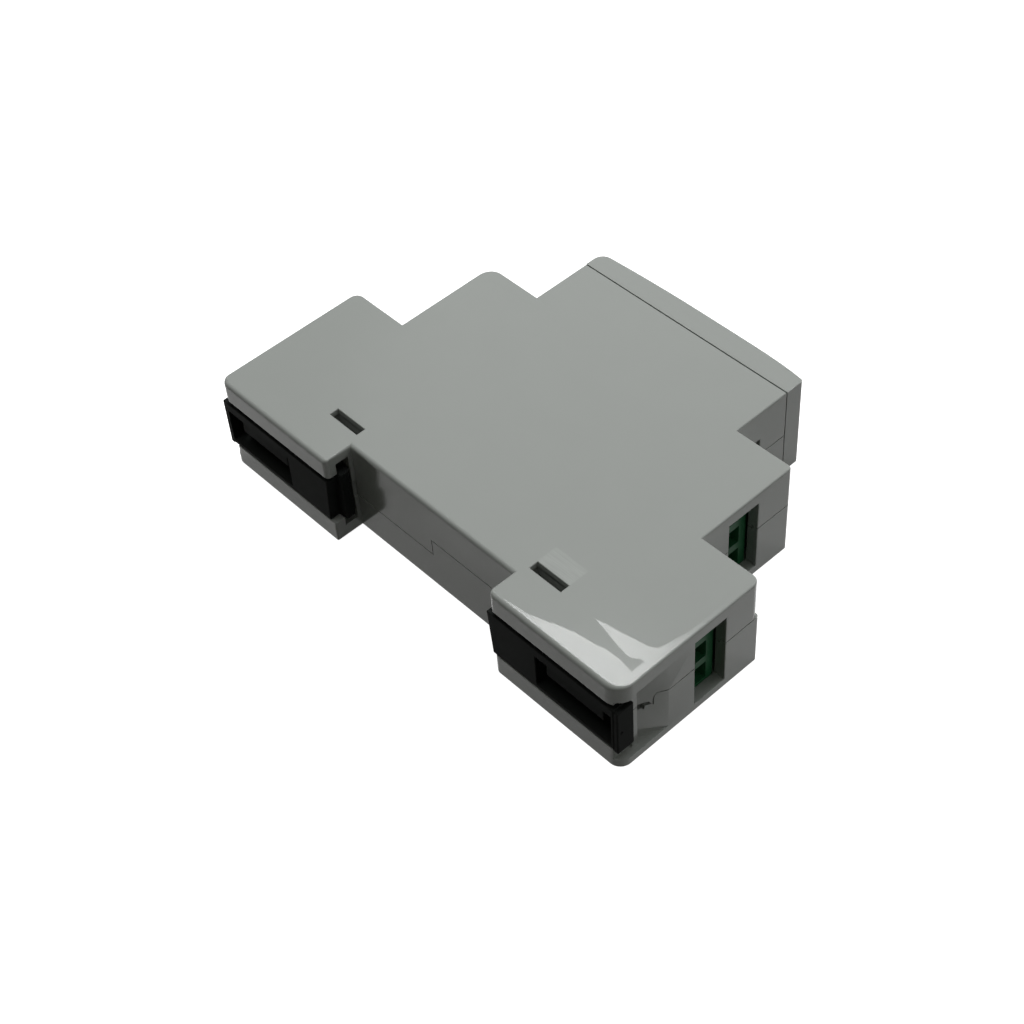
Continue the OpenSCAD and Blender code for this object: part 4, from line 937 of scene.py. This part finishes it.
finished("solder_joints", [(solderJoints(), solderMetal)], slot="terminal_pins", angle=50)
print("boards done")


# Headers, capacitors, varistor and control chip

def headerParts(x, count, low, high, stripLow):
    wide, end, pin = header["half"], header["pitch"] / 2, header["pin"]
    narrow, straight = wide - 0.3, 0.9  # the strip narrows between its pins
    strips, pins = [], []
    for z in pinRow(count):
        strips.append(prism([
            (x - wide, z - straight), (x - narrow, z - end), (x + narrow, z - end), (x + wide, z - straight),
            (x + wide, z + straight), (x + narrow, z + end), (x - narrow, z + end), (x - wide, z + straight),
        ], stripLow, stripLow + 2.5, "y"))
        pins.append(solidFromRings([
            [placed("y", x + a * share, z + c * share, y) for a, c in rectangle(-pin, pin, -pin, pin)]
            for share, y in ((0.5, low), (1, low + 0.5), (1, high - 0.5), (0.5, high))]))
    return [(joined(strips), blackPlastic), (joined(pins), goldBrass)]


def leads(places, low, high, radius=0.3):
    return joined([rod(x, z, radius, low, high, count=16) for x, z in places]), tinnedCopper


def filmCapacitor():  # a potted box on two standing ribs
    (x0, x1), (y0, y1), (z0, z1) = film["x"], film["y"], film["z"]
    case = roundedBox(x0, x1, y0 + 0.5, y1, z0, z1, 0.5, 4)
    case = combined(case, boxSolid(x0 + 0.7, x1 - 0.7, y0, y0 + 0.9, z0 + 0.7, z1 - 0.7))
    feet = joined([roundedBox(x, x + 1.2, y0, y0 + 0.7, z0 + 0.3, z1 - 0.3, 0.15)
                   for x in (x0 + 0.3, x1 - 1.5)])
    pins = leads([(x, middleZ) for x in film["pins"]], 6.5, y0 + 1)
    return [(case, yellowEpoxy), (feet, yellowEpoxy), pins]


def storageCapacitor():  # a sleeved can with a crimp at its foot and a scored vent in its top
    x, r, low = can["x"], can["radius"], boards["middle"]
    high = low + can["height"]
    sleeve = lathed([(r - 0.9, low), (r - 0.25, low + 0.05), (r, low + 0.4), (r, low + 1.3),
                     (r - 0.32, low + 1.8), (r - 0.32, low + 2.0), (r, low + 2.5), (r, high - 0.5),
                     (r - 0.12, high - 0.15), (r - 0.4, high), (r - 0.85, high), (r - 0.85, high - 0.25)],
                    x, middleZ, count=56)
    top = rod(x, middleZ, r - 0.85, high - 0.6, high - 0.12, count=48, chamfer=0.05)
    for turn in (0, 60, 120):
        cut = turnedAbout(boxSolid(-2.4, 2.4, high - 0.3, high + 1, -0.12, 0.12), "Y", turn)
        top = combined(top, shifted(cut, x, 0, middleZ))
    return [(sleeve, sleeveFilm), (top, canAluminium), leads([(x, z) for z in can["pins"]], 26.0, low + 0.1)]


def dippedVaristor():  # a coated disc whose coat runs a little way down its leads
    (x0, x1), y, r = varistor["x"], varistor["y"], varistor["radius"]
    half, middle = (x1 - x0) / 2, (x0 + x1) / 2
    turns = [math.pi * (k + 0.5) / 12 for k in range(12)]
    bulge = [(r - 1 + 0.98 * math.sin(a), middle - half * math.cos(a) * 0.99) for a in turns]
    disc = lathed([(r * 0.45, x0)] + bulge + [(r * 0.45, x1)], y, middleZ, "x", 48)
    drips = joined([lathed([(0.34, 10.4), (0.5, 11.0), (0.8, 11.8), (1.1, 12.8)], middle, z, count=20)
                    for z in varistor["pins"]])
    return [(disc, blueEpoxy), (drips, blueEpoxy), leads([(middle, z) for z in varistor["pins"]], 6.5, 12.5)]


def controlChip():  # body with drafted sides, a first-pin dimple and two rows of gull-wing leads
    (x0, x1), (z0, z1), board = chip["x"], chip["z"], boards["middle"]
    low = board + chip["stand"]
    middle, high = low + chip["middle"], low + chip["height"]
    rings = [[placed("y", a, b, y) for a, b in rectangle(x0 + d, x1 - d, z0 + d, z1 - d)]
             for d, y in ((0.1, low), (0, middle), (0.12, high))]
    body = combined(solidFromRings(rings), rod(x0 + 0.8, z0 + 0.9, 0.35, high - 0.09, high + 0.55, count=20))
    heel, toe = board + 0.22, board + 0.02
    wing = [(middle + 0.1, 0.02), (middle + 0.1, -0.45), (heel, -0.72), (heel, -1.1), (toe, -1.1),
            (toe, -0.62), (middle - 0.12, -0.3), (middle - 0.12, 0.02)]
    rows = []
    for i in range(4):
        x = x0 + chip["lead"] + chip["pitch"] * i
        rows.append(prism([(y, z0 + z) for y, z in wing], x, x + chip["lead"], "x"))
        rows.append(prism([(y, z1 - z) for y, z in reversed(wing)], x, x + chip["lead"], "x"))
    return [(body, chipEpoxy), (joined(rows), tinnedCopper)]


finished("board_header_pins", headerParts(header["x"], 5, 6.5, 30.6, boards["lower"]),
         stands=["board_header"])
finished("front_header_pins", headerParts(header["frontX"], 4, 26.0, 51.1, boards["middle"]),
         stands=["front_header"])
finished("film_capacitor_box", filmCapacitor(), stands=["film_capacitor"])
finished("storage_capacitor_can", storageCapacitor(), stands=["storage_capacitor"])
finished("varistor_disc", dippedVaristor(), stands=["varistor"], angle=60)
finished("control_chip_body", controlChip(), stands=["control_chip"])
print("board parts done")


# Relay winding and cover

def relayWinding():  # one layer of enamelled wire over the rest of the coil
    r = relay
    x, y, length, radius = r["x"] + r["coilX"], boards["lower"] + r["coilY"], r["coilLength"], r["coilRadius"]
    wire = grownMesh("winding", [(0, 0, 0)], coiled, {"Steps a turn": 28, "Turns": r["turns"], "Sides": 6},
                     {"Radius": radius, "Length": length - 0.2, "Wire radius": r["wireRadius"]}, copperEnamel)
    wire = shifted(turnedAbout(wire, "Y", 90), x + 0.1, y, middleZ)
    return [(wire, copperEnamel), (rod(y, middleZ, radius - 0.01, x, x + length, "x", 56), copperEnamel)]


def relayCover():
    x, y, length, half, wall = relay["x"], boards["lower"], relay["length"], relay["half"], relay["wall"]
    low, high, top = middleZ - half, middleZ + half, y + relay["height"]
    outline = roundedRectangle(x, x + length, low, high, 0.6, 4)
    cover = rimmedPrism(outline, y + 1.4, top, even(0.4), even(0.05), "y", 4)
    inside = boxSolid(x + wall, x + length - wall, y, top - wall, low + wall, high - wall)
    vent = rod(x + 25.5, middleZ + 4, 0.5, top - 2, top + 1, count=24)
    return combined(combined(cover, inside), vent)


finished("relay_winding_wire", relayWinding(), stands=["relay_winding"])
finished("relay_cover_shell", [(relayCover(), coverPlastic)], stands=["relay_cover"])
print("relay done")


# Switch, button and status light

switch = {"half": 3, "high": 53.1, "plate": 2.9, "hole": 1.75, "rivets": 2.3, "rivetRadius": 0.36,
          "legs": ((-3.5, -2.2), (-3.5, 2.2), (2.95, -2.2), (2.95, 2.2)), "legLength": 0.55, "legHalf": 0.35}


def tactileSwitch():  # body, metal cover with its four rivets, and four bent legs
    low, high, half, plateHalf = boards["front"], switch["high"], switch["half"], switch["plate"]
    body = roundedBox(-half, half, low + 0.1, high - 0.3, middleZ - half, middleZ + half, 0.25)
    outline = roundedRectangle(-plateHalf, plateHalf, middleZ - plateHalf, middleZ + plateHalf, 0.3)
    plate = prism(outline, high - 0.31, high, "y")
    hole = rod(0, middleZ, switch["hole"], low + 1.5, high + 0.9, count=40)
    body = combined(body, hole.copy())
    plate = combined(plate, hole)
    aside = (-switch["rivets"], switch["rivets"])
    rivets = joined([rod(a, middleZ + b, switch["rivetRadius"], high - 0.35, high, count=16, chamfer=0.08)
                     for a in aside for b in aside])
    long, side = switch["legLength"], switch["legHalf"]
    feet = joined([boxSolid(a, a + long, low, low + 0.25, middleZ + b - side, middleZ + b + side)
                   for a, b in switch["legs"]])
    return [(body, blackPlastic), (plate, zincSteel), (rivets, blackPlastic), (feet, tinnedCopper)]


def buttonMeshes():  # a flanged cap with a shallow dish where the finger rests, and the stem under it
    flange = [(2.2, 54.3), (3.75, 54.3), (3.85, 54.4), (3.85, 56.95), (3.75, 57.05), (2.95, 57.05)]
    dish = [(2.95, 59.6), (2.9, 59.85), (2.75, 60.02), (2.55, 60.1), (2.3, 60.08), (1.6, 59.94), (0.8, 59.86),
            (0.2, 59.84)]
    button = lathed(flange + dish, 0, middleZ, count=72)
    return button, rod(0, middleZ, 1.7, 51.8, 54.3, count=36, chamfer=0.15)


def statusLight():
    x, r, low, high, top = lamp["x"], lamp["radius"], boards["front"], lamp["high"], lamp["top"]
    dome = [(r * math.cos(a), high - r + r * math.sin(a)) for a in (math.pi / 2 * k / 8 for k in range(9))]
    bulb = lathed([(r, low)] + dome, x, middleZ, count=40)
    pipe = lathed([(1.38, high), (1.38, top - 0.45), (1.25, top - 0.2), (0.9, top - 0.04), (0.4, top)],
                  x, middleZ, count=40)
    return [(bulb, clearEpoxy), leads([(x, z) for z in lamp["pins"]], 47.2, low + 0.1, 0.25)], pipe


finished("tactile_switch_body", tactileSwitch(), stands=["tactile_switch"])
buttonMesh, stemMesh = buttonMeshes()
finished("push_button_cap", [(buttonMesh, buttonPlastic)], "button", ["push_button"])
finished("tactile_stem_pin", [(stemMesh, whitePlastic)], "button", ["tactile_stem"])
bulbParts, lensMesh = statusLight()
finished("status_led_bulb", bulbParts, stands=["status_led"])
finished("status_lens_pipe", [(lensMesh, greenLens)], stands=["status_lens"])
print("front parts done")


# Camera

cameraLook = {
    "turn": (2.25685757, 0.949107977, -0.438013097),  # rotation vector of the view
    "shift": (-12.0673655, 11.8006295, 308.306975),
    "focal": 1975.75,  # in pixels, as the middle and the frame
    "middle": (516.01, 509.10),
    "frame": 1024,
    "sensor": 36,
}


def addCamera():
    look = cameraLook
    turn = Vector(look["turn"])
    view = Matrix.Rotation(turn.length, 3, turn.normalized())
    facing = view.transposed() @ Matrix(((1, 0, 0), (0, -1, 0), (0, 0, -1)))
    stand = -(view.transposed() @ Vector(look["shift"])) * mm
    lens = bpy.data.cameras.new("camera")
    lens.sensor_width = look["sensor"]
    lens.lens = look["focal"] / look["frame"] * look["sensor"]
    lens.shift_x = (look["frame"] / 2 - look["middle"][0]) / look["frame"]
    lens.shift_y = (look["middle"][1] - look["frame"] / 2) / look["frame"]
    lens.clip_start, lens.clip_end = 0.01, 10
    camera = newPiece("camera", lens)
    camera.matrix_world = Matrix.Translation(stand) @ facing.to_4x4()
    bpy.context.scene.camera = camera
    return stand / mm


stand = addCamera()
print("camera stands at", [round(v, 1) for v in stand])


# Floor, backdrop and lamps

studio = {
    "floorHalf": 1500, "floorDrop": 0.02, "paleShade": 0.82, "glow": 0.95, "darkShade": 0.03, "dome": 0.06,
    "warmth": 0.8, "mirrorSpot": (34, -1, 18), "keyDistance": 450, "keySize": 66, "keyPower": 0.48,
    "softboxes": {  # place, aim, size and power
        "right fill": ((420, 120, 140), (0, 20, 9), (300, 200), 0.19),
        "high softbox": ((-40, -110, 640), (0, 20, 9), (240, 240), 0.6),
        "overhead softbox": ((-110, 420, 560), (0, 27, 9), (800, 800), 3.35),
    },
}


def seenDirectly(tree):  # 1 for rays from the camera and for what is mirrored or seen through
    path = addNode(tree, "ShaderNodeLightPath").outputs
    rays = (path["Is Camera Ray"], path["Is Glossy Ray"], path["Is Transmission Ray"])
    return together(tree, "MAXIMUM", *rays)


def addFloor():  # white where seen, dim where it only throws light
    half, drop, dim, pale = studio["floorHalf"], studio["floorDrop"], studio["darkShade"], studio["paleShade"]
    mesh = bpy.data.meshes.new("studio_floor")
    mesh.from_pydata([Vector((x, y, -drop)) * mm for x, y in rectangle(-half, half, -half, half)], [],
                     [(0, 1, 2, 3)])
    material, tree, _ = newMaterial("pale painted board")
    dark = addNode(tree, "ShaderNodeBsdfDiffuse", {"Color": (dim, dim, dim * 0.97, 1)})
    light = addNode(tree, "ShaderNodeBsdfDiffuse", {"Color": (pale, pale, pale, 1)})
    glow = addNode(tree, "ShaderNodeEmission", {"Color": (1, 1, 1, 1), "Strength": studio["glow"]})
    bright = addNode(tree, "ShaderNodeAddShader", {0: light, 1: glow})
    ground = addNode(tree, "ShaderNodeMixShader", {0: seenDirectly(tree), 1: dark, 2: bright})
    addNode(tree, "ShaderNodeOutputMaterial", {"Surface": ground})
    mesh.materials.append(material)
    newPiece("studio_floor", mesh)


def addWorld():
    world = bpy.data.worlds.new("studio")
    bpy.context.scene.world = world
    world.use_nodes = True
    tree = world.node_tree
    tree.nodes.clear()
    dim = studio["dome"]
    shade = addNode(tree, "ShaderNodeMix", {
        0: seenDirectly(tree), 6: (dim, dim, dim * studio["warmth"], 1), 7: (1, 1, 1, 1)}, data_type="RGBA")
    sky = addNode(tree, "ShaderNodeBackground", {"Color": shade.outputs[2], "Strength": 1.0})
    addNode(tree, "ShaderNodeOutputWorld", {"Surface": sky})


def softbox(name, place, aim, size, power):
    light = bpy.data.lights.new(name, "AREA")
    light.shape = "RECTANGLE"
    light.size, light.size_y = size[0] * mm, size[1] * mm
    light.energy = power
    piece = newPiece(name, light)
    piece.location = Vector(place) * mm
    piece.rotation_euler = (Vector(aim) - Vector(place)).to_track_quat("-Z", "Y").to_euler()


addFloor()
addWorld()
spot = Vector(studio["mirrorSpot"])  # where the leaning face mirrors the key lamp to the camera
leaning = Vector((*footMarks["tilt"], 1)).normalized()
towards = (spot - stand).normalized().reflect(leaning)
softbox("key lamp", spot + towards * studio["keyDistance"], spot, [studio["keySize"]] * 2, studio["keyPower"])
for name, settings in studio["softboxes"].items():
    softbox(name, *settings)
bpy.context.scene.view_settings.view_transform = "Standard"
